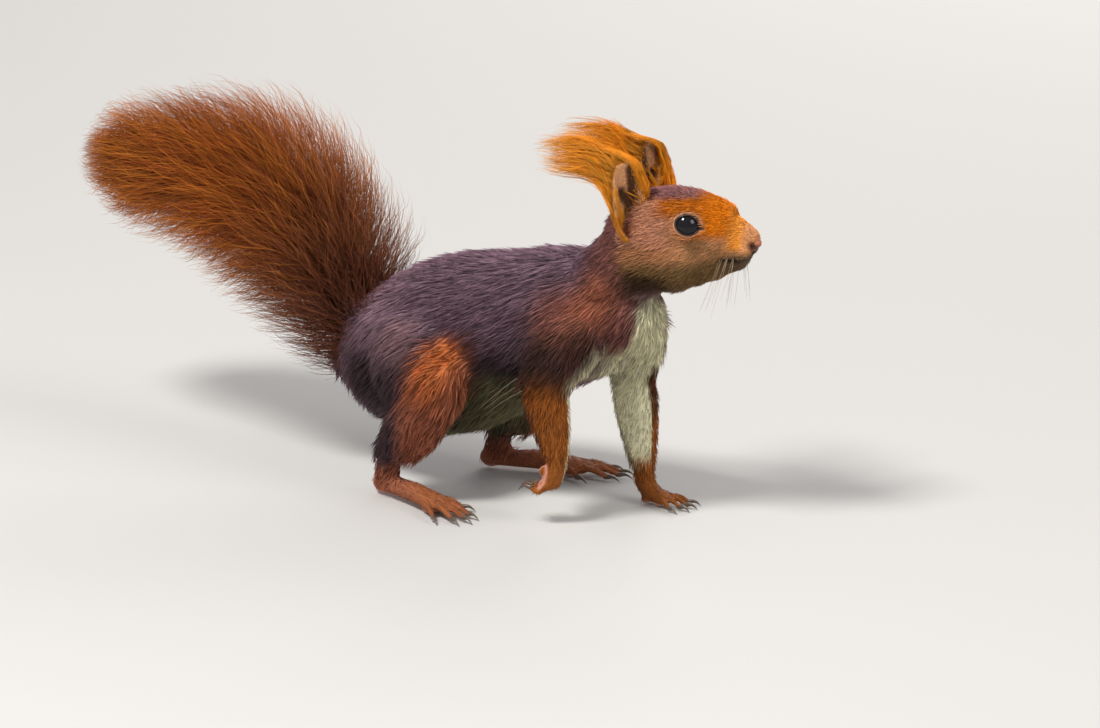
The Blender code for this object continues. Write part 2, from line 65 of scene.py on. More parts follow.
# The animal is measured from a point this far behind the middle of its box.
MEASURED_FROM = 19.8
SIDES = {"left": 1.0, "right": -1.0}
# Where the tip of the nose is, and how far the head is turned to the left.
NOSE_TIP = (12.0, -137.0, 114.0)
HEAD_TURN = math.radians(17.0)


def at(x, y, z):
    """A point in metres from millimetres beside, behind and above the point of measure."""
    return np.array((x, y - MEASURED_FROM, z)) * MM


def head_turned(x, y, z):
    """A direction beside, behind and above the face, turned with the head."""
    c, s = math.cos(HEAD_TURN), math.sin(HEAD_TURN)
    return np.array((x * c - y * s, x * s + y * c, z))


def on_head(x, y, z):
    """A point in metres from millimetres beside, behind and above the tip of the nose."""
    return at(*NOSE_TIP) + head_turned(x, y, z) * MM


def head_places(points):
    """Points in metres as millimetres beside, behind and above the tip of the nose."""
    off = (points - at(*NOSE_TIP)) / MM
    c, s = math.cos(HEAD_TURN), math.sin(HEAD_TURN)
    return np.stack((off[:, 0] * c + off[:, 1] * s, off[:, 1] * c - off[:, 0] * s, off[:, 2]), 1)


def body_places(points):
    """Points in metres as millimetres beside, behind and above the point of measure."""
    return points / MM + np.array((0.0, MEASURED_FROM, 0.0))


def unit(vectors):
    """The vectors, each brought to a length of one."""
    return vectors / np.maximum(np.linalg.norm(vectors, axis=-1, keepdims=True), 1e-12)


def eased(low, high, values):
    """0 below low, 1 above high, and a smooth step between them."""
    share = np.clip((values - low) / (high - low), 0.0, 1.0)
    return share * share * (3 - 2 * share)


def curve_through(rows, count):
    """Count rows spaced evenly along a Catmull-Rom curve through the rows."""
    rows = np.array(rows, float)
    padded = np.vstack((2 * rows[0] - rows[1], rows, 2 * rows[-1] - rows[-2]))
    place = np.linspace(0, len(rows) - 1 - 1e-9, count)
    at_row = place.astype(int)
    t = (place - at_row)[:, None]
    before, start, end, after = (padded[at_row + k] for k in range(4))
    bend = 2 * before - 5 * start + 4 * end - after
    twist = 3 * start - before - 3 * end + after
    return 0.5 * (2 * start + (end - before) * t + bend * t**2 + twist * t**3)


def add_tube(builder, rows, steps=24, sides=20):
    """Adds a closed tube through rows of x, y, z, half width and half depth, with domed ends."""
    stations = curve_through(rows, steps)
    centres = np.array([at(*row[:3]) for row in stations])
    along = unit(np.gradient(centres, axis=0))
    half = stations[:, 3:] * MM
    rings = []

    def ring(centre, direction, size):
        """Adds one ring of points across the tube."""
        side = np.array((1.0, 0.0, 0.0))
        side = unit(side - side @ direction * direction)
        up = np.cross(direction, side)
        turns = np.linspace(0, 2 * math.pi, sides, endpoint=False)[:, None]
        places = centre + side * size[0] * np.cos(turns) + up * size[1] * np.sin(turns)
        rings.append([builder.verts.new(p) for p in places])

    domes = [math.radians(angle) for angle in (80, 55, 30)]
    for index in range(steps):
        reach = half[index].min()
        if index == 0:
            for a in domes:
                ring(centres[0] - along[0] * reach * math.sin(a), along[0], half[0] * math.cos(a))
        ring(centres[index], along[index], half[index])
        if index == steps - 1:
            for a in reversed(domes):
                ring(centres[-1] + along[-1] * reach * math.sin(a), along[-1], half[-1] * math.cos(a))
    for first, second in zip(rings, rings[1:]):
        for k in range(sides):
            after = (k + 1) % sides
            builder.faces.new((first[k], first[after], second[after], second[k]))
    builder.faces.new(rings[0])
    builder.faces.new(rings[-1])


def add_ball(builder, centre, radii, on_face=False):
    """Adds an ellipsoid of these half sizes in millimetres around a point in metres."""
    made = bmesh.ops.create_icosphere(builder, subdivisions=3, radius=1.0)["verts"]
    for vert in made:
        local = np.array(vert.co) * np.array(radii) * MM
        vert.co = centre + (head_turned(*local) if on_face else local)


def built_mesh(name, builder):
    """A mesh of all that a builder holds."""
    mesh = bpy.data.meshes.new(name)
    builder.to_mesh(mesh)
    builder.free()
    return mesh


def add_solid(builder, node, swell):
    """Adds a copy of a CAD solid, swollen so that it meets its neighbours."""
    part = bmesh.new()
    part.from_mesh(frame["nodes"][node].data)
    bmesh.ops.remove_doubles(part, verts=part.verts, dist=1e-6)
    part.normal_update()
    for vert in part.verts:
        vert.co += vert.normal * swell * MM
    copy = built_mesh(node, part)
    builder.from_mesh(copy)
    bpy.data.meshes.remove(copy)


def object_of(name, mesh):
    """An object at the origin that holds a mesh."""
    obj = bpy.data.objects.new(name, mesh)
    bpy.context.scene.collection.objects.link(obj)
    return obj


def evaluated_mesh(obj):
    """The object's mesh with its modifiers carried out."""
    graph = bpy.context.evaluated_depsgraph_get()
    return bpy.data.meshes.new_from_object(obj.evaluated_get(graph), depsgraph=graph)


def carry_out_modifiers(obj):
    """Puts what the object's modifiers make in place of its mesh."""
    mesh = evaluated_mesh(obj)
    obj.modifiers.clear()
    obj.data = mesh


def read_values(items, name, size=1, kind=np.int32):
    """What each of a mesh's items holds under a name, in rows of this size."""
    found = np.empty(len(items) * size, kind)
    items.foreach_get(name, found)
    return found.reshape(-1, size) if size > 1 else found


def read_points(mesh):
    """The places of a mesh's points."""
    return read_values(mesh.vertices, "co", 3, float)


def write_points(mesh, points):
    """Moves a mesh's points to new places."""
    mesh.vertices.foreach_set("co", points.astype(np.float32).ravel())
    mesh.update()


def read_normals(mesh):
    """The way out of the surface at each of a mesh's points."""
    return read_values(mesh.vertex_normals, "vector", 3, np.float32).astype(float)


def read_edges(mesh):
    """The two points of each of a mesh's edges."""
    return read_values(mesh.edges, "vertices", 2)


def relaxed(values, edges, strength, rounds):
    """Values on the points of a mesh, each drawn towards the mean of its neighbours."""
    count = np.bincount(edges.ravel(), minlength=len(values))
    strength = np.broadcast_to(strength, len(values))
    values = values.copy()
    for _ in range(rounds):
        for k in range(values.shape[1]):
            column = values[:, k]
            total = np.bincount(edges[:, 0], column[edges[:, 1]], len(values))
            total += np.bincount(edges[:, 1], column[edges[:, 0]], len(values))
            values[:, k] = column + strength * (total / count - column)
    return values


# Middle line of the tail bones, and the half size of the flesh on them.
TAIL_BONES = [
    (0, 24, 44, 9.0, 9.0),
    (0, 40, 52, 7.6, 7.6),
    (0, 50, 66, 6.2, 6.2),
    (0, 65, 85, 5.6, 5.6),
    (0, 85, 98.5, 5.0, 5.0),
    (0, 108, 104.5, 4.2, 4.2),
    (0, 130, 104.5, 3.2, 3.2),
    (0, 146, 103.2, 2.2, 2.2),
]


# A hind foot's heel beside and behind the point of measure, how far each one steps ahead of it, and
# how far the feet are splayed.
HEEL = (28, 9)
HIND_STRIDE = {"left": 10.0, "right": 0.0}
FOOT_SPLAY = math.radians(17.0)


def foot_turned(side_name, x, y, z):
    """A point of a hind foot, from its heel on the floor, in millimetres from the point of measure."""
    side = SIDES[side_name]
    c, s = math.cos(side * FOOT_SPLAY), math.sin(side * FOOT_SPLAY)
    return (side * HEEL[0] + x * c - y * s, HEEL[1] - HIND_STRIDE[side_name] + x * s + y * c, z)


# Toes from the inner one outwards, and how far beside the middle the root and tip of the outer one are.
HIND_TOES = (7, 13.5, 15.5, 15, 11)
HIND_ROOTS, HIND_TIPS = 4.96, 9.3


def hind_toes(side_name):
    """Root, knuckle and tip of the five toes of a hind foot, from the inner one outwards."""
    side = SIDES[side_name]
    toes = []
    for index, length in enumerate(HIND_TOES):
        spread = (index - 2) / 2
        root_x, tip_x = side * spread * HIND_ROOTS, side * spread * HIND_TIPS
        root_y = -34 + (5.0 if spread < 0 else 2.5) * spread**2
        root = foot_turned(side_name, root_x, root_y, 3.5)
        knuckle = foot_turned(side_name, (root_x + tip_x) / 2, root_y - length * 0.5, 4.0)
        tip = foot_turned(side_name, tip_x, root_y - length, 1.9)
        toes.append((root, knuckle, tip))
    return toes


# How far beside the point of measure each forefoot is, and its toes.
FOREFOOT = {"left": 22, "right": -25}
FORE_TOES = {"left": (7.5, 9.5, 9.5, 7.5), "right": (7.0, 9.0, 9.0, 7.0)}
FORE_ROOTS = 3.45


def fore_toes(side_name):
    """Root, knuckle and tip of the four toes of a forefoot: the left one stands, the right one curls."""
    middle = FOREFOOT[side_name]
    toes = []
    for index, length in enumerate(FORE_TOES[side_name]):
        spread = (index - 1.5) / 1.5
        if side_name == "left":
            root = (middle + spread * FORE_ROOTS, -84.5, 3.0)
            tip = (middle + spread * 6.2, -84.5 - length, 1.6)
            knuckle = ((root[0] + tip[0]) / 2, -84.5 - length * 0.5, 3.6)
        else:
            root = (middle + spread * FORE_ROOTS, -67.0, 16.5)
            knuckle = (middle + spread * 4.4, -67.0 + length * 0.45, 13.1)
            tip = (middle + spread * 5.06, -67.0 + length, 14.9)
        toes.append((root, knuckle, tip))
    return toes


FLESH = ["head", "neck", "chest", "loins", "ear_left", "ear_right"]
for side_name in SIDES:
    FLESH += [f"{part}_{side_name}" for part in ("thigh", "shank", "upper_arm", "forearm")]
FEET = [f"{part}_{side_name}" for side_name in SIDES for part in ("hind_foot", "forefoot")]

# How far the solids are swollen to close the gaps between them, and where the cheeks bulge.
SWELL, EAR_SWELL = 0.25, 0.3
CHEEK, CHEEK_SIZE = (6.0, 24.5, -9.5), (7.0, 9.5, 8.9)

hide = bmesh.new()
for node in FLESH:
    add_solid(hide, node, EAR_SWELL if node.startswith("ear") else SWELL)
add_solid(hide, "eye_left", 0.0)
add_solid(hide, "eye_right", 0.0)
add_solid(hide, "nose", -0.2)
for side in SIDES.values():
    add_ball(hide, on_head(side * CHEEK[0], *CHEEK[1:]), CHEEK_SIZE, on_face=True)
add_tube(hide, TAIL_BONES, steps=40)

# Feet: rows of a hind foot's sole and ankle and of each palm and wrist, and the bare pads under them.
SOLE = [
    (0, 3.5, 4.6, 4.2, 4.2),
    (0, -6, 5.4, 4.5, 4.6),
    (0, -18, 5.0, 4.8, 4.0),
    (0, -30, 4.1, 5.9, 3.5),
    (0, -35, 3.8, 5.6, 3.0),
]
ANKLE = [(0, 0, 7, 4.5, 5.6), (0, -1, 15, 5.4, 7.2), (0, -2, 20, 5.6, 7.6)]
SOLE_PADS = [((0, 2.5, 2.0), (3.1, 3.4, 2.0))]
SOLE_PADS += [((x, -31, 1.9), (2.0, 2.9, 1.9)) for x in (-3.4, 0, 3.4)]
PALMS = [
    [(22, -75, 20, 5.0, 5.4), (22, -75.5, 9, 4.2, 4.6), (22, -80, 4.3, 4.4, 3.5), (22, -85, 3.5, 4.6, 2.7)],
    [(-25, -69.5, 33, 5.2, 5.8), (-25, -69, 23, 4.4, 4.6), (-25, -67.5, 17, 4.6, 3.5)],
]
PALM_PADS = [
    ("left", 2.2, -77.5, 2.0, (2.1, 2.5, 2.0)),
    ("left", 2.4, -84.5, 1.8, (2.0, 2.2, 1.7)),
    ("right", 2.2, -64.1, 21.5, (2.1, 1.9, 2.6)),
    ("right", 2.4, -63.9, 16.2, (2.0, 1.8, 2.0)),
]
HIND_TOE_SIZES, FORE_TOE_SIZES = (1.75, 1.7, 1.5), (1.45, 1.4, 1.25)
for side_name in SIDES:
    for rows, steps in ((SOLE, 24), (ANKLE, 10)):
        add_tube(hide, [(*foot_turned(side_name, *row[:3]), *row[3:]) for row in rows], steps=steps)
    for place, size in SOLE_PADS:
        add_ball(hide, at(*foot_turned(side_name, *place)), size)
    for toes, sizes in ((hind_toes(side_name), HIND_TOE_SIZES), (fore_toes(side_name), FORE_TOE_SIZES)):
        for toe in toes:
            add_tube(hide, [(*place, size, size) for place, size in zip(toe, sizes)], steps=10)
for palm in PALMS:
    add_tube(hide, palm)
for side in (-1, 1):
    for side_name, aside, behind, above, size in PALM_PADS:
        add_ball(hide, at(FOREFOOT[side_name] + side * aside, behind, above), size)

skin = object_of("skin", built_mesh("skin", hide))
# Size of the grains that melt the solids together.
MELT_GRAIN = 0.45
melt = skin.modifiers.new("melt", "REMESH")
melt.mode = "VOXEL"
melt.voxel_size = MELT_GRAIN * MM
carry_out_modifiers(skin)

# Each length of the body lays its hair one way, so deep and so long. Rows: ends of its middle line,
# how far it reaches sideways, depth of the coat, length of the hair, and the way the hair lies.
LIES = [
    (on_head(0, 1, -1), on_head(0, 13, -1), 8, 0.3, 1.3, head_turned(0, 1, 0.0)),
    (on_head(0, 17, 1), on_head(0, 32, 0), 15, 0.75, 2.6, head_turned(0, 1, -0.3)),
    (on_head(0, 37, 0), on_head(0, 50, -4), 17, 1.5, 4.2, head_turned(0, 0.9, -0.45)),
    (on_head(0, 56, -10), at(0, -72, 88), 17, 2.3, 6.5, (0, 0.72, -0.69)),
    (at(0, -68, 82), at(0, -45, 72), 25, 2.8, 8.5, (0, 0.72, -0.69)),
    (at(0, -38, 69), at(0, -5, 56), 30, 3.2, 9.5, (0, 0.84, -0.54)),
    (at(0, 5, 53), at(0, 22, 49), 27, 3.2, 9.0, (0, 0.75, -0.66)),
    (at(0, 30, 46), at(0, 38, 40), 22, 2.6, 6.5, (0, 0.3, -0.95)),
]
for side_name, side in SIDES.items():
    stride = HIND_STRIDE[side_name]
    hip, knee = at(side * 17, 8 - stride, 58), at(side * 27, -18 - stride, 44)
    shin, ankle = at(side * 30, -15 - stride, 40), at(side * 28.5, 6 - stride, 10)
    heel, toe_tip = at(*foot_turned(side_name, 0, 2, 5)), at(*foot_turned(side_name, 0, -40, 3))
    LIES += [
        (hip, knee, 19, 2.8, 8.5, (side * 0.1, 0.6, -0.8)),
        (shin, ankle, 11, 1.9, 6.0, (0, 0.4, -0.92)),
        (heel, toe_tip, 6, 0.4, 2.4, (side * 0.29, -0.956, -0.05)),
    ]
LIES += [
    (at(-17, -72, 74), at(-25, -63.5, 57), 12, 2.2, 7.0, (0, 0.55, -0.83)),
    (at(-25, -63.5, 52), at(-25, -69.5, 28), 8, 1.2, 4.5, (0, 0.2, -0.98)),
    (at(-25, -69.5, 24), at(-25, -61.5, 14), 5, 0.35, 1.9, (0, 0.35, -0.94)),
    (at(17, -76, 74), at(24, -68, 52), 12, 2.2, 7.0, (0, 0.55, -0.83)),
    (at(24, -69, 47), at(22, -75, 16), 8, 1.2, 4.5, (0, 0.1, -1.0)),
    (at(22, -76, 10), at(22, -94, 2), 5, 0.35, 1.9, (0, -0.96, -0.25)),
]


def off_line(points, start, end):
    """How far each point is from the line between two points."""
    line = end - start
    share = np.clip((points - start) @ line / (line @ line), 0, 1)
    return np.linalg.norm(points - start - share[:, None] * line, axis=1)


def lie_shares(points):
    """How much each length of the body rules over the coat at each point."""
    near = np.stack([off_line(points, row[0], row[1]) / (row[2] * MM) for row in LIES], 1)
    pull = 1.0 / (near**7 + 1e-4)
    return pull / pull.sum(1, keepdims=True)


points = read_points(skin.data)
edges = read_edges(skin.data)
points = relaxed(points, edges, 0.5, 14)
write_points(skin.data, points)

tail_line = np.array([at(*row[:3]) for row in curve_through(TAIL_BONES, 120)])


def near_tail(points):
    """1 on the tail bones' flesh, fading to 0 on the rump."""
    _, y, z = body_places(points).T
    off = np.full(len(points), 1.0)
    for station in tail_line:
        off = np.minimum(off, np.linalg.norm(points - station, axis=1))
    return eased(10.5, 8.5, off / MM) * eased(42, 50, y + 0.4 * (z - 50))


def gap_to_nodes(points, nodes):
    """How far each point is from the nearest of the CAD solids, in millimetres."""
    gaps = np.full(len(points), 1e3)
    for node in nodes:
        part = bmesh.new()
        part.from_mesh(frame["nodes"][node].data)
        tree = BVHTree.FromBMesh(part)
        part.free()
        found = [tree.find_nearest(point)[3] for point in points]
        gaps = np.minimum(gaps, np.array(found) / MM)
    return gaps


def near_ears(points):
    """1 on the ears and 0 on the head."""
    place = head_places(points)
    close = (place[:, 1] > 34) & (place[:, 2] > -4) & (np.abs(place[:, 0]) > 6)
    share = np.zeros(len(points))
    to_ears = gap_to_nodes(points[close], ["ear_left", "ear_right"])
    to_head = gap_to_nodes(points[close], ["head"])
    share[close] = eased(-0.6, 0.4, to_head - to_ears)
    return share


# Middle of the left eye, beside, behind and above the tip of the nose.
EYE = (10.0, 25.6, 6.8)
eye_middles = {name: on_head(side * EYE[0], *EYE[1:]) for name, side in SIDES.items()}


def eye_axes(side):
    """Directions outwards from an eye, towards its front corner, and up across it."""
    out = unit(head_turned(side * 0.90, -0.38, 0.22))
    front = head_turned(0, -1, 0)
    front = unit(front - front @ out * out)
    up = -side * np.cross(out, front)
    roll = math.radians(8.0)
    return out, front * math.cos(roll) - up * math.sin(roll), up * math.cos(roll) + front * math.sin(roll)


# Half angles of the opening between the lids, across and up, and how far its front corner is drawn out.
LIDS_ACROSS, LIDS_UP, LIDS_CORNER = np.radians((49.0, 39.5, 11.0))


def lids_width(up_angle, ahead):
    """Half angle of the opening at each height; its front corner is pointed."""
    return LIDS_ACROSS + LIDS_CORNER * np.exp(-((up_angle / 0.13) ** 2)) * ahead


def eye_edge(front_angle, up_angle):
    """1 on the edge of the lids, less in the opening between them."""
    return np.hypot(front_angle / lids_width(up_angle, front_angle > 0), up_angle / LIDS_UP)


def eye_places(points, side_name):
    """How far each point is from the middle of an eye, and its angles to the front and up."""
    out, front, up = eye_axes(SIDES[side_name])
    off = points - eye_middles[side_name]
    reach = np.linalg.norm(off, axis=1)
    aim = off / reach[:, None]
    return reach / MM, np.arctan2(aim @ front, aim @ out), np.arcsin(np.clip(aim @ up, -1, 1))


def nearest_on_line(places, line):
    """How far places are from a line through rows of points."""
    gap = np.full(len(places), 1e9)
    for start, end in zip(line, line[1:]):
        gap = np.minimum(gap, off_line(places, np.array(start), np.array(end)))
    return gap


def one_sided(places):
    """Places of both sides, folded over onto the left one."""
    return np.stack((np.abs(places[:, 0]), places[:, 1], places[:, 2]), 1)


def soft_ball(places, middle, radius):
    """1 at the middle of a ball, fading to nothing a little beyond its radius."""
    return np.exp(-((np.linalg.norm(places - np.array(middle), axis=1) / radius) ** 4))


# How far each ear's opening is turned outwards from straight ahead, and half its width from root to tip.
EAR_TURN = {"left": math.radians(-24.0), "right": math.radians(42.0)}
EAR_ROOT = (14.5, 43.5, 0.5)
EAR_HALF_WIDTHS = (3.8, 5.2, 6.4, 6.5, 6.2, 5.4, 4.4, 2.4)
EAR_HEIGHT = 30


def ear_places(points, name):
    """Places across an ear, towards its +x edge, and up it from its root, and half its width there."""
    side = SIDES[name]
    off = head_places(points) - np.array((side * EAR_ROOT[0], EAR_ROOT[1], EAR_ROOT[2]))
    turn = side * EAR_TURN[name]
    across = off[:, 0] * math.cos(turn) + (off[:, 1] - 0.2 * off[:, 2]) * math.sin(turn)
    return across, off[:, 2], np.interp(off[:, 2], np.linspace(0, EAR_HEIGHT, 8), EAR_HALF_WIDTHS)


def ear_insides(points, normals):
    """1 on the front of the ears, 1 in their hollows, and 1 on the hairy fold behind each hollow."""
    x = head_places(points)[:, 0]
    front, hollow, fold = np.zeros((3, len(points)))
    for name, side in SIDES.items():
        opening = head_turned(side * math.sin(EAR_TURN[name]), -math.cos(EAR_TURN[name]), 0.1)
        own = x * side > 0
        across, up, _ = ear_places(points[own], name)
        flat = np.stack((-side * across, up, np.zeros(len(up))), 1)
        front[own] = eased(-0.1, 0.25, normals[own] @ opening)
        groove = nearest_on_line(flat, [(2.2, 26.5, 0), (2.2, 20, 0), (1.6, 14, 0), (1.4, 8, 0), (1.6, 2, 0)])
        pocket = nearest_on_line(flat, [(-2.8, 18, 0), (0.5, 13, 0), (0.5, 7, 0)])
        hollow[own] = front[own] * np.maximum(np.exp(-((groove / 2.1) ** 4)), np.exp(-((pocket / 2.3) ** 4)))
        ridge = nearest_on_line(flat, [(-5.6, 19, 0), (-4.9, 11.8, 0), (-1.6, 4.0, 0)])
        fold[own] = front[own] * np.exp(-((ridge / 1.5) ** 4))
    return front, hollow * (1 - fold), fold


# The lines of a nostril and of the mouth, beside, behind and above the tip of the nose.
NOSTRIL = [(1.0, 0.2, -2.9), (1.9, 0.5, -2.6), (2.6, 1.2, -1.9), (2.9, 2.0, -1.1)]
MOUTH = [(0, 1.6, -4.0), (2.2, 3.0, -5.2), (4.4, 6.0, -6.2), (6.4, 9.6, -6.6), (7.6, 12.4, -6.0)]

shares = lie_shares(points)
depth = shares @ np.array([row[3] for row in LIES])
on_tail = near_tail(points)
on_ears = relaxed(near_ears(points)[:, None], edges, 0.5, 6)[:, 0]
eye_gap = np.minimum(*[np.linalg.norm(points - middle, axis=1) for middle in eye_middles.values()])
depth *= (1 - on_tail) * (1 - on_ears) * eased(5.8, 9.5, eye_gap / MM)
depth = relaxed(depth[:, None], edges, 0.5, 20)[:, 0]
points -= read_normals(skin.data) * depth[:, None] * MM
points = relaxed(points, edges, 0.35, 4)

# The nose is rounded, the mouth is a crease, and the bare soles are pressed down on the floor again.
SOLE_DROP = 0.25
head_at = head_places(points)
folded = one_sided(head_at)
crease = np.exp(-((nearest_on_line(folded, MOUTH) / 0.75) ** 2)) * eased(2.0, 0.0, folded[:, 1] - 13)
write_points(skin.data, points)
normals = read_normals(skin.data)
_, hollow, fold = ear_insides(points, normals)
nose_bump = soft_ball(folded, (1.0, 4.2, 1.6), 3.6)
notch = np.exp(-(((folded[:, 1] - 10.5) / 2.4) ** 2)) * eased(2.0, 5.0, folded[:, 2])
nostril = np.exp(-((nearest_on_line(folded, NOSTRIL) / 0.8) ** 2))
pushed_in = 0.9 * crease + 0.6 * nostril + on_ears * (0.85 * hollow - 0.35 * fold)
pushed_in = pushed_in - 0.45 * nose_bump + 0.5 * notch
points -= normals * (pushed_in * MM)[:, None]
points[:, 2] -= eased(2.2, 0.5, points[:, 2] / MM) * SOLE_DROP * MM

# The lids stand on the eyeball, which shows between them, over a socket behind it. From the middle of
# the eye: how far the eye's region, the socket and the lids reach, and how high the lids' edge bulges.
EYE_REACH, SOCKET, LID_REACH, LID_BULGE = 8.5, 4.7, 6.05, 0.35
for name in SIDES:
    reach, front_angle, up_angle = eye_places(points, name)
    edge = eye_edge(front_angle, up_angle)
    near = (reach < EYE_REACH) & (np.abs(front_angle) < 1.75)
    bulge = LID_BULGE * np.exp(-(((edge - 1.18) / 0.16) ** 2)) * (0.7 + 0.6 * (up_angle > 0))
    wanted = np.where(edge < 1.0, SOCKET, np.maximum(reach, LID_REACH) + bulge * eased(8.0, 6.4, reach))
    middle = eye_middles[name]
    moved = middle + (points - middle) * (wanted / reach)[:, None]
    points = np.where(near[:, None], moved, points)
write_points(skin.data, points)

# The hide is thinned to this many triangles.
SKIN_TRIANGLES = 175000
thin = skin.modifiers.new("thin", "DECIMATE")
thin.ratio = SKIN_TRIANGLES / sum(len(face.vertices) - 2 for face in skin.data.polygons)
carry_out_modifiers(skin)

# The unwrap of the hide, on which every tuft of the coat takes its colour.
bpy.context.view_layer.objects.active = skin
skin.select_set(True)
bpy.ops.object.mode_set(mode="EDIT")
bpy.ops.mesh.select_all(action="SELECT")
bpy.ops.uv.smart_project(angle_limit=math.radians(66), island_margin=0.001, scale_to_bounds=True)
bpy.ops.object.mode_set(mode="OBJECT")
skin.data.uv_layers[0].name = "OFBake"

# Colours of the coat, as linear light.
COLOURS = {
    # back and rump: the hair's own grey-brown with a painted lavender sheen of sky light reflected off it
    "back": (0.27, 0.165, 0.215),
    "rump": (0.42, 0.255, 0.315),
    # hip: a painted highlight, a pool of pale lilac light on the top of each hip
    "hip": (0.44, 0.25, 0.26),
    "flank": (0.048, 0.026, 0.026),
    "nape": (0.23, 0.12, 0.145),
    "rust": (0.46, 0.155, 0.085),
    "shoulder": (0.62, 0.22, 0.125),
    "thigh": (0.68, 0.19, 0.05),
    "brown": (0.05, 0.022, 0.015),
    "orange": (0.43, 0.13, 0.02),
    # white: the bib's own cream white with a painted yellow-green cast of light bounced from grass;
    # shaded_white is the same in painted shade
    "white": (0.76, 0.72, 0.49),
    "shaded_white": (0.215, 0.195, 0.105),
    "crown": (0.36, 0.155, 0.15),
    "forehead": (0.66, 0.18, 0.005),
    "brow": (0.85, 0.24, 0.002),
    "temple": (0.72, 0.34, 0.2),
    "cheek": (0.62, 0.29, 0.13),
    "low_cheek": (0.30, 0.17, 0.065),
    "muzzle": (0.92, 0.36, 0.045),
    "tip": (0.80, 0.36, 0.15),
    "chin": (0.24, 0.15, 0.085),
    "eye_ring": (0.70, 0.33, 0.16),
    "lip": (0.035, 0.015, 0.01),
    "nostril": (0.22, 0.06, 0.03),
    "pad": (0.5, 0.22, 0.16),
    "ear_rim": (0.68, 0.335, 0.155),
    # ear_hollow: painted shade in the cup of the ear
    "ear_hollow": (0.10, 0.04, 0.018),
    "ear_fold": (0.75, 0.29, 0.02),
    "ear_back": (0.66, 0.24, 0.03),
    "tail_root": (0.12, 0.042, 0.022),
    "tail_middle": (0.26, 0.07, 0.014),
}


def painted(name, count, markings):
    """A named colour at a number of points, drawn towards others in turn by their share at each point."""
    colours = np.tile(np.array(COLOURS[name]), (count, 1))
    for name, share in markings:
        colours = colours + np.clip(share, 0, 1)[:, None] * (np.array(COLOURS[name]) - colours)
    return colours


def body_colours(points, normals):
    """Markings of the trunk, neck, legs and feet, and how bare each point is."""
    x, y, z = body_places(points).T
    folded = one_sided(body_places(points))
    wide = np.abs(x)
    outwards = normals[:, 0] * np.sign(x)

    # Forelegs are orange in front and brown behind.
    foreleg = eased(66, 54, z) * eased(-50, -54, y) * eased(11, 15, wide)
    front = eased(-0.6, 0.45, -normals[:, 1] + 0.3 * outwards) * (0.3 + 0.7 * eased(62, 48, z))
    markings = [
        # The upper rump is paler and lavender: painted sheen over the hair's own grey-brown.
        ("rump", eased(-5, 25, y) * eased(50, 66, z)),
        ("flank", eased(72, 55, z) * eased(-64, -48, y) * (0.9 - 0.45 * eased(-18, 8, y))),
        ("nape", eased(-66, -80, y)),
        ("rust", 0.5 * eased(-72, -84, y) * eased(0.2, 0.8, outwards)),
        # Painted highlight: a soft pool of pale lilac light on the top of each hip.
        ("hip", 0.7 * soft_ball(folded, (29, 0, 64), 9)),
        ("rust", 0.75 * soft_ball(folded, (23, -72, 80), 15)),
        ("shoulder", soft_ball(folded, (20, -83, 89), 11)),
        ("brown", 0.95 * soft_ball(folded, (27, -65, 64), 14)),
        ("brown", 0.85 * soft_ball(folded, (22, -81, 72), 9)),
        ("brown", foreleg),
        ("orange", foreleg * front),
        ("orange", 0.75 * eased(32, 24, z) * eased(-48, -54, y)),
        ("brown", 0.7 * foreleg * (x > 0) * eased(30, 40, z)),
    ]

    # Hind legs have a rusty patch over the knee and shank, and are dark behind.
    for name, stride in HIND_STRIDE.items():
        own = eased(-2, 2, x * SIDES[name])
        ahead = y + stride
        leg = own * eased(16, 21, wide) * eased(60, 50, z) * eased(-34, -28, ahead)
        back_edge = ahead + 0.1 * (z - 40) + 0.45 * np.maximum(z - 48, 0)
        patch = own * eased(15, 19, wide) * eased(1, -9, back_edge) * eased(71, 62, z)
        patch *= eased(-33, -27, ahead)
        foot = own * eased(17, 10, z) * eased(15, 19, wide) * eased(-60, -55, y)
        markings += [
            ("flank", 0.75 * leg * eased(-8, 4, ahead) * eased(60, 44, z)),
            ("rust", patch),
            ("thigh", 0.9 * patch * eased(-6, -17, ahead) * eased(38, 52, z) * eased(-27, -21, ahead)),
            ("rust", foot),
            ("orange", 0.5 * foot * eased(6, -20, ahead)),
        ]

    # The bib and belly are white, up to the elbows and down the inside of the legs; the belly and the inside
    # of the legs are darkened with painted shade.
    bib = eased(3, -3, y + 98 - 0.70 * (91 - z)) * eased(-45, -55, y)
    bib *= eased(0.72, 0.42, outwards * eased(4, 9, wide))
    bib *= 1 - eased(14, 18, wide) * eased(58, 52, z) * eased(-0.45, -0.1, outwards)
    bib *= eased(15, 22, z) * eased(94, 90, z + 0.5 * wide)
    inner_arm = eased(-0.1, -0.45, outwards) * eased(64, 57, z) * eased(15, 22, z)
    belly = eased(56, 49, z - 0.25 * (y + 48)) * eased(-0.05, -0.35, normals[:, 2])
    belly *= eased(24, 17, wide) * eased(-80, -70, y) * eased(6, -8, y)
    inner_leg = eased(-0.25, -0.6, outwards) * eased(12, 20, z) * eased(56, 48, z) * eased(4, -6, y)

    # The soles and the palm that is turned back are bare.
    palm = eased(-0.1, 0.35, normals[:, 1]) * eased(26, 23, z) * eased(-69.5, -66.5, y) * eased(-50, -54, y)
    bare = np.maximum(eased(2.6, 1.4, z), palm * eased(-14, -17, x))
    tail = near_tail(points)
    markings += [
        ("white", bib),
        ("white", 0.9 * inner_arm * eased(-50, -55, y) * eased(10, 13, wide)),
        ("shaded_white", belly),
        ("shaded_white", 0.85 * inner_leg * eased(-46, -38, y)),
        ("pad", bare),
        ("tail_root", tail),
        ("tail_middle", tail * eased(50, 110, y)),
    ]
    return painted("back", len(points), markings), bare


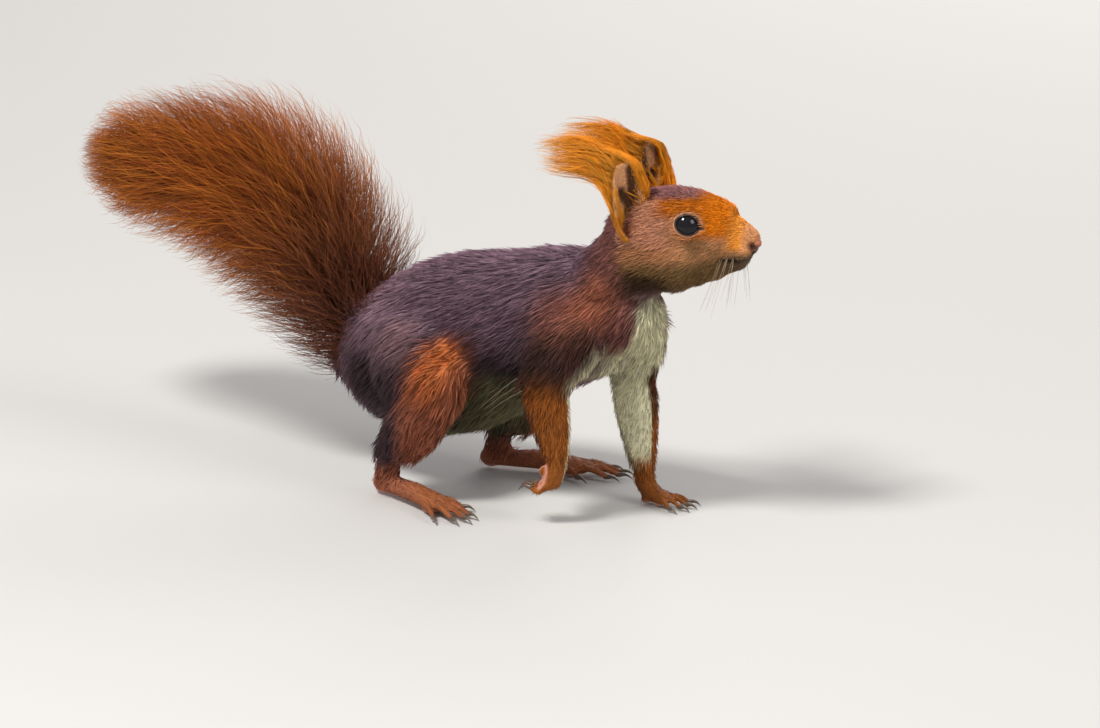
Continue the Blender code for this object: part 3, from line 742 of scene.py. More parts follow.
def head_colours(points):
    """Markings of the head, from places beside, behind and above the tip of the nose."""
    folded = one_sided(head_places(points))
    x, y, z = folded.T
    top = z - 0.3 * x - 0.22 * np.maximum(30 - y, 0)
    streak = nearest_on_line(folded, [(10.5, 17.5, 0), (8.6, 14, -3.5)])
    to_mouth = nearest_on_line(folded, MOUTH)
    to_nostril = nearest_on_line(folded, NOSTRIL)
    markings = [
        ("low_cheek", eased(-3, -9, z + 0.12 * (y - 20))),
        ("chin", eased(-11, -15, z + 0.1 * y) * eased(20, 30, y)),
        ("temple", eased(26, 34, y) * eased(-4, 1, z)),
        # Painted shade: a dark patch under each eye, and a dark streak of shade behind the whisker pad.
        ("low_cheek", 0.65 * soft_ball(folded, (11, 22, -1.0), 4.2)),
        ("low_cheek", 0.5 * np.exp(-((streak / 2.0) ** 2))),
        ("forehead", eased(1, 5, z) * eased(30, 22, y) * eased(4, 9, y)),
        ("forehead", eased(8, 12, z) * eased(40, 32, y)),
        ("brow", 0.9 * soft_ball(folded, (5, 15, 9), 7)),
        ("crown", eased(12, 14.2, top) * eased(17, 25, y)),
        ("nape", eased(46, 54, y) * eased(-6, 2, z)),
        ("rust", 0.4 * eased(46, 54, y) * eased(0, -8, z)),
        ("muzzle", eased(12, 7, y) * eased(-3.4, -1.0, z)),
        ("tip", eased(6.5, 3.5, y) * eased(-4.2, -2.6, z)),
        ("chin", eased(-3.9, -6, z) * eased(12, 8, y)),
        ("lip", 0.95 * np.exp(-((to_mouth / 1.3) ** 2))),
        ("nostril", 0.9 * np.exp(-((to_nostril / 2.0) ** 4))),
        ("lip", np.exp(-((to_nostril / 1.15) ** 2))),
        ("brown", 0.8 * eased(-11, -14.5, z) * eased(27, 34, y)),
        ("white", eased(-20, -23, z) * eased(26, 34, y) * eased(11, 7, x)),
    ]
    for name in SIDES:
        reach, front_angle, up_angle = eye_places(points, name)
        edge = eye_edge(front_angle, up_angle)
        ring = eased(8.4, 7.3, reach) * eased(1.44, 1.2, edge)
        markings += [
            ("eye_ring", ring * np.where(up_angle > 0, 1.0, 0.7)),
            ("lip", eased(8.0, 7.0, reach) * eased(1.16, 1.04, edge)),
        ]
    return painted("cheek", len(points), markings)


def ear_colours(points, front, hollow, fold):
    """Markings of the ears: a pale rim, a dark hollow of painted shade with an orange fold, and rusty hair
    behind.
    """
    rim = front * eased(8, 15, head_places(points)[:, 2])
    return painted("ear_back", len(points), [("ear_rim", rim), ("ear_hollow", hollow), ("ear_fold", fold)])


points = read_points(skin.data)
normals = read_normals(skin.data)
edges = read_edges(skin.data)
head_at = head_places(points)
shares = lie_shares(points)
on_tail = near_tail(points)
on_ears = near_ears(points)
hair_length = shares @ np.array([row[4] for row in LIES])
coat_depth = shares @ np.array([row[3] for row in LIES])
lie = unit(shares @ unit(np.array([row[5] for row in LIES], float)))

# On the face the hair runs back and outwards from the nose, and curves round the eyes.
fan = np.stack([head_turned(*v) for v in ((1, 0, 0), (0, 1, 0), (0, 0, 1))])
outward = np.stack((head_at[:, 0] / 12, np.zeros(len(points)), (head_at[:, 2] - 1) / 16), 1) @ fan
face = eased(46, 30, head_at[:, 1])[:, None]
lie = unit(lie + 0.5 * face * outward)
ear_lie = head_turned(0, 0.25, 1.0)
lie = unit(lie + on_ears[:, None] * 3 * (ear_lie - lie))
lie = unit(lie - (lie * normals).sum(1, keepdims=True) * normals)
lie = unit(relaxed(lie, edges, 0.5, 6))
EAR_HAIR, EAR_COAT = 1.9, 0.3
hair_length = hair_length * (1 - on_ears) + EAR_HAIR * on_ears
coat_depth = coat_depth * (1 - on_ears) + EAR_COAT * on_ears

body_paint, bare = body_colours(points, normals)
head_share = eased(54, 46, head_at[:, 1]) * eased(-24, -18, head_at[:, 2])
head_share *= eased(30, 24, np.abs(head_at[:, 0]))
paint = body_paint + head_share[:, None] * (head_colours(points) - body_paint)
ear_front, ear_hollow, ear_fold = ear_insides(points, normals)
paint += on_ears[:, None] * (ear_colours(points, ear_front, ear_hollow, ear_fold) - paint)
eye_share = np.zeros(len(points))
for name in SIDES:
    reach, front_angle, up_angle = eye_places(points, name)
    opening = eased(1.22, 1.08, eye_edge(front_angle, up_angle))
    eye_share = np.maximum(eye_share, (reach < EYE_REACH) * opening)
nose_share = eased(3.1, 2.3, np.linalg.norm(head_at - np.array((0, 1.5, -1.7)), axis=1))
bare = np.maximum.reduce([bare, eye_share, nose_share, on_tail])


def store(mesh, name, kind, values, domain="POINT"):
    """Keeps values on the points, corners or faces of a mesh under a name."""
    layer = mesh.attributes.new(name, kind, domain)
    if kind == "FLOAT_COLOR":
        values = np.concatenate((values, np.ones((len(values), 1))), 1)
    held = {"FLOAT_COLOR": "color", "FLOAT_VECTOR": "vector", "FLOAT2": "vector"}.get(kind, "value")
    values = values.astype(np.int32 if kind == "INT" else np.float32)
    layer.data.foreach_set(held, values.ravel())


# The white hair of the bib and belly is short and smooth.
hair_length *= 1 - 0.4 * eased(0.2, 0.42, paint[:, 2])
for name, kind, values in (
    ("marking", "FLOAT_COLOR", paint),
    ("lie", "FLOAT_VECTOR", lie),
    ("hair_length", "FLOAT", hair_length),
    ("coat_depth", "FLOAT", coat_depth),
    ("bare", "FLOAT", bare),
):
    store(skin.data, name, kind, values)

# Which coat each face of the hide carries: the neck's also covers the chest and upper arms, the rump's
# the thighs, and the legs' the shanks and forearms.
NO_COAT, FACE, HEAD, EARS, NECK, BACK, RUMP, LEGS, FEET_COAT = range(9)


def face_values(mesh, values):
    """Values on the points of a mesh, carried to its faces."""
    start = read_values(mesh.polygons, "loop_start")
    total = read_values(mesh.polygons, "loop_total")
    corner = read_values(mesh.loops, "vertex_index")
    values = values.reshape(len(values), -1)
    return np.add.reduceat(values[corner], start, axis=0) / total[:, None]


middles = face_values(skin.data, points)
face_head = head_places(middles)
ruler = lie_shares(middles).argmax(1)
by_length = [FACE, FACE, HEAD, NECK, NECK, BACK, RUMP, RUMP]
by_length = np.array(by_length + [RUMP, LEGS, FEET_COAT] * 2 + [NECK, LEGS, FEET_COAT] * 2)
FACE_END = 24
region = by_length[ruler]
region[(region == FACE) & (face_head[:, 1] > FACE_END)] = HEAD
region[face_values(skin.data, on_ears)[:, 0] > 0.5] = EARS
region[face_values(skin.data, bare)[:, 0] > 0.45] = NO_COAT
region[middles[:, 2] < 1.2 * MM] = NO_COAT
store(skin.data, "region", "INT", region, "FACE")


def add_node(tree, kind, values=None, **settings):
    """Adds a node, sets its properties, and fills or links the inputs named by identifier."""
    node = tree.nodes.new(kind)
    for name, value in settings.items():
        setattr(node, name, value)
    for identifier, value in (values or {}).items():
        socket = next(s for s in node.inputs if s.identifier == identifier)
        if isinstance(value, bpy.types.NodeSocket):
            tree.links.new(value, socket)
        else:
            socket.default_value = value
    return node


def add_maths(tree, operation, *values):
    """Adds a maths node on up to three values, and gives its result."""
    inputs = dict(zip(("Value", "Value_001", "Value_002"), values))
    return add_node(tree, "ShaderNodeMath", inputs, operation=operation).outputs[0]


def add_vector_maths(tree, operation, values, output="Vector"):
    """Adds a vector maths node on the inputs named, and gives its result."""
    return add_node(tree, "ShaderNodeVectorMath", values, operation=operation).outputs[output]


def stored(tree, name, output):
    """Adds a node that reads what a mesh keeps under a name."""
    return add_node(tree, "ShaderNodeAttribute", attribute_name=name).outputs[output]


def fur_colour_group():
    """Colour of fur: its marking, dark at the root, paler at the tip, and varied from lock to lock."""
    tree = bpy.data.node_groups.new("fur_colour", "ShaderNodeTree")
    made = tree.interface.new_socket
    made("Marking", in_out="INPUT", socket_type="NodeSocketColor")
    starts = {"Along": 0.5, "Tint": 0.5, "Root shade": 0.45, "Tip light": 1.25, "Varied": 0.3}
    for name, start in starts.items():
        made(name, in_out="INPUT", socket_type="NodeSocketFloat").default_value = start
    made("Colour", in_out="OUTPUT", socket_type="NodeSocketColor")
    given = tree.nodes.new("NodeGroupInput").outputs
    place = tree.nodes.new("ShaderNodeTexCoord").outputs["Object"]
    patches = add_node(tree, "ShaderNodeTexNoise", {"Vector": place, "Scale": 130.0, "Detail": 3.0})
    paleness = add_node(tree, "ShaderNodeRGBToBW", {"Color": given["Marking"]}).outputs[0]

    def by_paleness(dark, pale):
        """A value that is one number for dark hair and another for pale hair."""
        values = {"Value": paleness, "From Min": 0.2, "From Max": 0.7, "To Min": dark, "To Max": pale}
        return add_node(tree, "ShaderNodeMapRange", values).outputs[0]

    root_shade = by_paleness(given["Root shade"], 0.9)
    tip_light = by_paleness(given["Tip light"], 1.05)
    from_root = {"Value": given["Along"], "To Min": root_shade, "To Max": tip_light}
    shade = add_node(tree, "ShaderNodeMapRange", from_root, interpolation_type="SMOOTHSTEP").outputs[0]
    spread = add_maths(tree, "SUBTRACT", given["Tint"], 0.5)
    spread = add_maths(tree, "MULTIPLY_ADD", spread, given["Varied"], 1.0)
    patch = add_maths(tree, "MULTIPLY_ADD", patches.outputs["Fac"], 0.5, 0.75)
    value = add_maths(tree, "MULTIPLY", add_maths(tree, "MULTIPLY", shade, spread), patch)
    colour = add_vector_maths(tree, "SCALE", {"Vector": given["Marking"], "Scale": value})
    out = tree.nodes.new("NodeGroupOutput")
    tree.links.new(colour, out.inputs["Colour"])
    return tree


FUR_COLOUR = fur_colour_group()


def plain_material(name, colour, roughness, **more):
    """A Principled material; more sets other inputs of the shader by name, _ standing for a space."""
    made = bpy.data.materials.new(name)
    made.use_nodes = True
    shader = made.node_tree.nodes["Principled BSDF"]
    shader.inputs["Base Color"].default_value = (*colour, 1.0)
    shader.inputs["Roughness"].default_value = roughness
    for key, value in more.items():
        shader.inputs[key.replace("_", " ")].default_value = value
    return made


def feed_shader(tree, colour, bumps=None):
    """Links a colour, and the normal of a bump node, to a material's shader."""
    shader = tree.nodes["Principled BSDF"]
    tree.links.new(colour, shader.inputs["Base Color"])
    if bumps:
        bump = add_node(tree, "ShaderNodeBump", bumps)
        tree.links.new(bump.outputs["Normal"], shader.inputs["Normal"])


def fur_colour(tree, along, tint, **values):
    """The colour of the hair at a place along it and for its lock's tint; values set other inputs."""
    group = tree.nodes.new("ShaderNodeGroup")
    group.node_tree = FUR_COLOUR
    for name, source in (("Marking", stored(tree, "marking", "Color")), ("Along", along), ("Tint", tint)):
        tree.links.new(source, group.inputs[name])
    for name, value in values.items():
        group.inputs[name.replace("_", " ")].default_value = value
    return group.outputs["Colour"]


def fur_material(name, roughness=0.55, root=0.4, tip=1.25, varied=0.55):
    """Hair whose colour comes from its root's marking, its place along the hair and its lock's tint."""
    made = plain_material(name, (0.5, 0.5, 0.5), roughness, Specular_IOR_Level=0.16)
    tree = made.node_tree
    along = add_node(tree, "ShaderNodeSeparateXYZ", {"Vector": stored(tree, "patch", "Vector")}).outputs["Y"]
    tint = stored(tree, "tint", "Fac")
    feed_shader(tree, fur_colour(tree, along, tint, Root_shade=root, Tip_light=tip, Varied=varied))
    return made


def skin_material():
    """Short underfur: the markings, darker where the coat covers it, as the underfur is and as painted shade
    between the locks, with fine streaks that run with the lie of the coat.
    """
    made = plain_material("hide", (0.5, 0.5, 0.5), 0.7, Specular_IOR_Level=0.16)
    tree = made.node_tree
    lie_way = stored(tree, "lie", "Vector")
    place = tree.nodes.new("ShaderNodeTexCoord").outputs["Object"]
    down_lie = add_vector_maths(tree, "DOT_PRODUCT", {"Vector": place, "Vector_001": lie_way}, "Value")
    back = add_vector_maths(tree, "SCALE", {"Vector": lie_way, "Scale": down_lie})
    drawn_out = {"Vector": back, "Vector_001": (-0.85, -0.85, -0.85), "Vector_002": place}
    drawn_out = {"Vector": add_vector_maths(tree, "MULTIPLY_ADD", drawn_out), "Scale": 1600.0, "Detail": 2.0}
    streaks = add_node(tree, "ShaderNodeTexNoise", drawn_out).outputs["Fac"]
    # Painted shade: the hide under the coat is darker than where it is bare, so the gaps between locks look
    # shadowed.
    along = {"Value": stored(tree, "bare", "Fac"), "To Min": 0.3, "To Max": 0.72}
    along = add_node(tree, "ShaderNodeMapRange", along).outputs[0]
    colour = fur_colour(tree, along, streaks, Varied=0.9)
    feed_shader(tree, colour, {"Strength": 0.5, "Distance": 0.0004, "Height": streaks})
    return made


skin.data.materials.clear()
skin.data.materials.append(skin_material())
skin.data.shade_smooth()
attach(skin, "root")
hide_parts(*FLESH, *FEET)

# ---------------------------------------------------------------------------------------------------
# Eyes: two glossy dark balls under their lids, glass on a mounted animal, each in its socket.
# A narrow bare margin of dark skin lines the lids round them.
# ---------------------------------------------------------------------------------------------------
EYE_RADIUS = 5.6
# How far the margin of the lids lies from the middle of the eye, and its half sizes across and out.
MARGIN_RISE, MARGIN_ACROSS, MARGIN_OUT = 5.92, 0.3, 0.24


def rim_path(side_name, rise, count=72):
    """Points round the edge of an eye's lids, risen above the middle of the eye."""
    out, front, up = eye_axes(SIDES[side_name])
    turns = np.linspace(0, 2 * math.pi, count, endpoint=False)
    up_angle = LIDS_UP * np.sin(turns)
    front_angle = lids_width(up_angle, np.cos(turns) > 0) * np.cos(turns)
    aim = (
        np.outer(np.cos(front_angle) * np.cos(up_angle), out)
        + np.outer(np.sin(front_angle) * np.cos(up_angle), front)
        + np.outer(np.sin(up_angle), up)
    )
    return eye_middles[side_name] + aim * rise * MM, aim


def ring_mesh(name, path, aims, across, out, sides=8):
    """A closed ring along a path, of an oval section that lies across and stands out."""
    builder = bmesh.new()
    along = unit(np.roll(path, -1, 0) - np.roll(path, 1, 0))
    sideways = unit(np.cross(along, aims))
    rings = []
    for k in range(sides):
        a = 2 * math.pi * k / sides
        places = path + sideways * (across * MM * math.cos(a)) + aims * (out * MM * math.sin(a))
        rings.append([builder.verts.new(p) for p in places])
    count = len(path)
    for k in range(sides):
        first, second = rings[k], rings[(k + 1) % sides]
        for i in range(count):
            j = (i + 1) % count
            builder.faces.new((first[i], first[j], second[j], second[i]))
    bmesh.ops.recalc_face_normals(builder, faces=builder.faces)
    mesh = built_mesh(name, builder)
    mesh.shade_smooth()
    return mesh


def ball_mesh(name, middle, radius, turns=64, rows=40):
    """A ball around a point in metres, of rings of points between two poles."""
    builder = bmesh.new()
    around = np.linspace(0, 2 * math.pi, turns, endpoint=False)
    rings = []
    for rise in np.linspace(-math.pi / 2, math.pi / 2, rows + 1)[1:-1]:
        level = np.stack((np.cos(around), np.sin(around), np.full(turns, math.tan(rise))), 1)
        rings.append([builder.verts.new(p) for p in middle + level * math.cos(rise) * radius * MM])
    bottom, top = (builder.verts.new(middle + np.array((0, 0, end * radius * MM))) for end in (-1, 1))
    for k in range(turns):
        after = (k + 1) % turns
        builder.faces.new((bottom, rings[0][after], rings[0][k]))
        for low, high in zip(rings, rings[1:]):
            builder.faces.new((low[k], low[after], high[after], high[k]))
        builder.faces.new((top, rings[-1][k], rings[-1][after]))
    mesh = built_mesh(name, builder)
    mesh.shade_smooth()
    return mesh


lid_margin = plain_material("lid_margin", (0.02, 0.011, 0.009), 0.35)
eye_glass = plain_material("eye_glass", (0.006, 0.005, 0.007), 0.04, IOR=1.36)
for name in SIDES:
    path, aims = rim_path(name, MARGIN_RISE)
    rim_mesh = ring_mesh(f"lid_margin_{name}", path, aims, MARGIN_ACROSS, MARGIN_OUT)
    rim = object_of(f"lid_margin_{name}", rim_mesh)
    rim.data.materials.append(lid_margin)
    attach(rim, "root")
    ball = ball_mesh(f"eyeball_{name}", eye_middles[name], EYE_RADIUS)
    eyeball = object_of(f"eyeball_{name}", ball)
    eyeball.data.materials.append(eye_glass)
    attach(eyeball, "root")
    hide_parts(f"eye_{name}")

# ---------------------------------------------------------------------------------------------------
# Nose pad: bare moist skin at the tip of the muzzle, with a comma of a nostril on each side
# and a groove down its middle, grown into the skin round it.
# ---------------------------------------------------------------------------------------------------
NOSE_MIDDLE, NOSE_SIZE = (0, 1.9, -0.9), (3.2, 2.6, 2.8)
NOSE_LOW, NOSE_HIGH, NOSE_DARK = (0.22, 0.06, 0.03), (0.45, 0.15, 0.06), (0.03, 0.008, 0.005)
nose_builder = bmesh.new()
bmesh.ops.create_icosphere(nose_builder, subdivisions=6, radius=1.0)
nose_mesh = built_mesh("nose_pad", nose_builder)
aims = read_points(nose_mesh)
local = aims * np.array(NOSE_SIZE) + np.array(NOSE_MIDDLE)
nostril = np.exp(-((nearest_on_line(one_sided(local), NOSTRIL) / 1.1) ** 2))
groove = np.exp(-((local[:, 0] / 0.28) ** 2)) * eased(-0.8, -1.8, local[:, 2]) * eased(2.6, 1.6, local[:, 1])
local -= aims * (1.1 * nostril + 0.45 * groove)[:, None]
write_points(nose_mesh, on_head(0, 0, 0) + np.stack([head_turned(*p) for p in local]) * MM)
nose_paint = np.tile(np.array(NOSE_LOW), (len(local), 1))
nose_paint += eased(-1.8, 0.0, local[:, 2])[:, None] * (np.array(NOSE_HIGH) - nose_paint)
nose_paint += np.clip(1.5 * nostril + 0.6 * groove, 0, 1)[:, None] * (np.array(NOSE_DARK) - nose_paint)
store(nose_mesh, "marking", "FLOAT_COLOR", nose_paint)
nose_mesh.shade_smooth()
nose = object_of("nose_pad", nose_mesh)
nose_skin = plain_material("nose_skin", (0.4, 0.16, 0.1), 0.42)
nose_tree = nose_skin.node_tree
place = nose_tree.nodes.new("ShaderNodeTexCoord").outputs["Object"]
grain = add_node(nose_tree, "ShaderNodeTexVoronoi", {"Vector": place, "Scale": 3200.0}).outputs["Distance"]
grain = {"Strength": 0.25, "Distance": 0.0001, "Height": grain}
feed_shader(nose_tree, stored(nose_tree, "marking", "Color"), grain)
nose.data.materials.append(nose_skin)
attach(nose, "root")
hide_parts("nose")

# ---------------------------------------------------------------------------------------------------
# Claws: dark horn, curved and pointed, one growing out of the end of each toe. The standing feet's
# claws reach down to the floor, and those of the lifted forefoot hook round.
# ---------------------------------------------------------------------------------------------------


def triangle_mesh(name, points, triangles):
    """A mesh from arrays of points and of triangles."""
    mesh = bpy.data.meshes.new(name)
    mesh.vertices.add(len(points))
    mesh.vertices.foreach_set("co", points.astype(np.float32).ravel())
    mesh.loops.add(triangles.size)
    mesh.loops.foreach_set("vertex_index", triangles.astype(np.int32).ravel())
    mesh.polygons.add(len(triangles))
    mesh.polygons.foreach_set("loop_start", np.arange(0, triangles.size, 3, dtype=np.int32))
    mesh.update(calc_edges=True)
    mesh.shade_smooth()
    return mesh


def strands(paths, widths, sides=3, flatness=1.0):
    """Tapered strands along paths: points, triangles, and each point's strand and place along it."""
    count, rows = paths.shape[:2]
    along = unit(np.gradient(paths, axis=1))
    ahead = along.mean(1)
    spare = np.where(np.abs(ahead[:, 2:3]) < 0.8, (0.0, 0.0, 1.0), (1.0, 0.0, 0.0))
    across = unit(np.cross(along, spare[:, None, :]))
    out = np.cross(across, along)
    turns = np.linspace(0, 2 * math.pi, sides, endpoint=False)
    body = rows - 1
    ring = across[:, :body, None] * np.cos(turns)[:, None]
    ring = ring + out[:, :body, None] * np.sin(turns)[:, None] * flatness
    ring = paths[:, :body, None] + ring * widths[:, :body, None, None]
    points = np.concatenate((ring.reshape(count, body * sides, 3), paths[:, -1:]), 1)
    each = body * sides + 1
    faces = []
    for row in range(body - 1):
        for k in range(sides):
            a, b = row * sides + k, row * sides + (k + 1) % sides
            faces += [(a, b, b + sides), (a, b + sides, a + sides)]
    for k in range(sides):
        faces.append(((body - 1) * sides + k, (body - 1) * sides + (k + 1) % sides, body * sides))
    for k in range(1, sides - 1):
        faces.append((0, k + 1, k))
    faces = np.array(faces)
    triangles = (faces[None] + (np.arange(count) * each)[:, None, None]).reshape(-1, 3)
    strand = np.repeat(np.arange(count), each)
    share = np.concatenate((np.repeat(np.linspace(0, 1, rows)[:body], sides), (1.0,)))
    round_share = np.concatenate((np.tile(np.linspace(0.1, 0.9, sides), body), (0.5,)))
    return points.reshape(-1, 3), triangles, strand, np.tile(share, count), np.tile(round_share, count)


# Reach of a claw and how far its point falls, on hind feet and forefeet, and on the lifted toes.
HIND_CLAW, FORE_CLAW, LIFTED_FALL = (5.6, 1.2), (4.9, 1.0), 2.6
CLAW_HALF_WIDTHS = (0.78, 0.8, 0.76, 0.68, 0.58, 0.46, 0.33, 0.2, 0.08)
CLAW_CLEAR = 0.42
claw_paths = []
steps = np.linspace(-0.25, 1.0, len(CLAW_HALF_WIDTHS))[:, None]
beyond = np.clip(steps, 0, 1)
for name in SIDES:
    for toes, (reach, drop) in ((hind_toes(name), HIND_CLAW), (fore_toes(name), FORE_CLAW)):
        for toe in toes:
            knuckle, tip = np.array(toe[1]), np.array(toe[2])
            ahead = unit((tip - knuckle) * np.array((1, 1, 0.15)))
            lifted = tip[2] > 5
            arch = np.sin(beyond * math.pi) * 0.75
            fall = beyond**2 * (LIFTED_FALL if lifted else drop)
            path = tip + ahead * reach * steps + np.array((0, 0, 1.0)) * (arch - fall)
            path[:, 2] = np.maximum(path[:, 2], CLAW_CLEAR)
            claw_paths.append(at(0, 0, 0) + path * MM)
claw_widths = np.tile(np.array(CLAW_HALF_WIDTHS) * MM, (len(claw_paths), 1))
points, triangles, *_ = strands(np.array(claw_paths), claw_widths, sides=10, flatness=1.15)
claws = object_of("claws", triangle_mesh("claws", points, triangles))
claws.data.materials.append(plain_material("claw_horn", (0.10, 0.065, 0.045), 0.32))
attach(claws, "root")

# ---------------------------------------------------------------------------------------------------
# Whiskers: stiff pale hairs in rows on the pads beside the nose, a few over each eye and behind
# each elbow, rooted in the skin and tapering to nothing.
# ---------------------------------------------------------------------------------------------------
WHISKER_HALF_WIDTH, WHISKER_ROOT = 0.075, 1.2
chance = np.random.default_rng(11)
whiskers_grown = []
for name, side in SIDES.items():
    for row in range(3):
        for column in range(3):
            root = on_head(side * (5.6 + 0.6 * column), 8.0 + 1.9 * column, -2.4 - 1.1 * row)
            spread = chance.uniform(-0.1, 0.1, 3)
            aim = head_turned(side * 0.5, 0.02 + 0.12 * column, -0.85 - 0.05 * row) + spread
            length = (22 + 3.5 * column) * chance.uniform(0.85, 1.2)
            droop = np.array((0.0, 0.0, -1.0)) * chance.uniform(0.5, 2.5) + head_turned(-side * 2.0, 1.0, 0)
            whiskers_grown.append((root, unit(aim), length, droop))
    for k in range(2):
        root = on_head(side * (9.0 + 0.5 * k), 20 + 3.5 * k, 13.4)
        aim = head_turned(side * 0.4, 0.9 + 0.1 * k, 0.35)
        whiskers_grown.append((root, unit(aim), 6 + 2 * k, np.array((0, 1.5, -1.5))))
    for k in range(3):
        elbow = at(side * 31, -57 + 1.5 * k, (52 if side < 0 else 49) + 2 * k)
        aim = np.array((side * 0.5, 0.75, -0.45 - 0.1 * k))
        whiskers_grown.append((elbow, unit(aim), 15 + 2 * k, np.array((0, 0.0, -2.0))))
steps = np.linspace(0, 1, 10)
paths = []
for root, aim, length, droop in whiskers_grown:
    grown = aim * length * steps[:, None] + droop * steps[:, None] ** 2
    paths.append(root - aim * WHISKER_ROOT * MM + grown * MM)
paths = np.array(paths)
widths = np.tile(WHISKER_HALF_WIDTH * (1 - 0.6 * steps) * MM, (len(paths), 1))
points, triangles, *_ = strands(paths, widths, sides=5)
whiskers = object_of("whiskers", triangle_mesh("whiskers", points, triangles))
whiskers.data.materials.append(plain_material("whisker_hair", (0.34, 0.24, 0.15), 0.45))
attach(whiskers, "root")

# ---------------------------------------------------------------------------------------------------
# Coat: tufts of short hair rooted all over the hide, lying back along the body and down the limbs.
# Each tuft is a few tapered hairs that close to one point; they are finest on face, ears and feet.
# ---------------------------------------------------------------------------------------------------


# Hairs in a tuft, triangles in a hair, and how many shapes of tuft there are.
TUFT_HAIRS, HAIR_TRIANGLES, TUFT_SHAPES = 3, 10, 4


def tuft_mesh(name, hairs, width, spread, seed):
    """One tuft: hairs one unit long along y that rise one unit, in millimetres across."""
    chance = np.random.default_rng(seed)
    roots = chance.uniform(-1, 1, (hairs, 2)) * np.array((spread, 0.12))
    tips = np.stack((chance.normal(0, spread * 0.45, hairs), chance.uniform(0.72, 1.1, hairs)), 1)
    rise = chance.uniform(0.55, 1.05, hairs)
    steps = np.array((0.0, 0.42, 1.0))
    x = roots[:, :1] + (tips[:, :1] - roots[:, :1]) * steps**1.3
    y = roots[:, 1:] + (tips[:, 1:] - roots[:, 1:]) * steps
    z = -0.08 + (rise[:, None] + 0.08) * (1 - (1 - steps) ** 1.9)
    across = np.stack((np.full(hairs, width), np.full(hairs, width * 0.82)), 1)
    points, faces = [], []
    for k in range(hairs):
        start = len(points)
        for row in range(2):
            half = across[k, row]
            points += [
                (x[k, row] - half, y[k, row], z[k, row] - 0.03),
                (x[k, row] + half, y[k, row], z[k, row] - 0.03),
                (x[k, row], y[k, row], z[k, row] + 0.05),
            ]
        points.append((x[k, 2], y[k, 2], z[k, 2]))
        for a, b in ((0, 1), (1, 2), (2, 0)):
            a, b = start + a, start + b
            faces += [(a, b, b + 3), (a, b + 3, a + 3), (a + 3, b + 3, start + 6)]
        faces.append((start, start + 2, start + 1))
    points, faces = np.array(points), np.array(faces)
    mesh = triangle_mesh(name, points, faces)
    patch = np.stack((0.5 + points[:, 0] / (3.2 * spread), np.clip(points[:, 1], 0, 1)), 1)
    store(mesh, "patch", "FLOAT2", patch[faces.ravel()], "CORNER")
    return mesh


# Width of a tuft's patch on the hide's unwrap.
BAKE_PATCH = 0.003


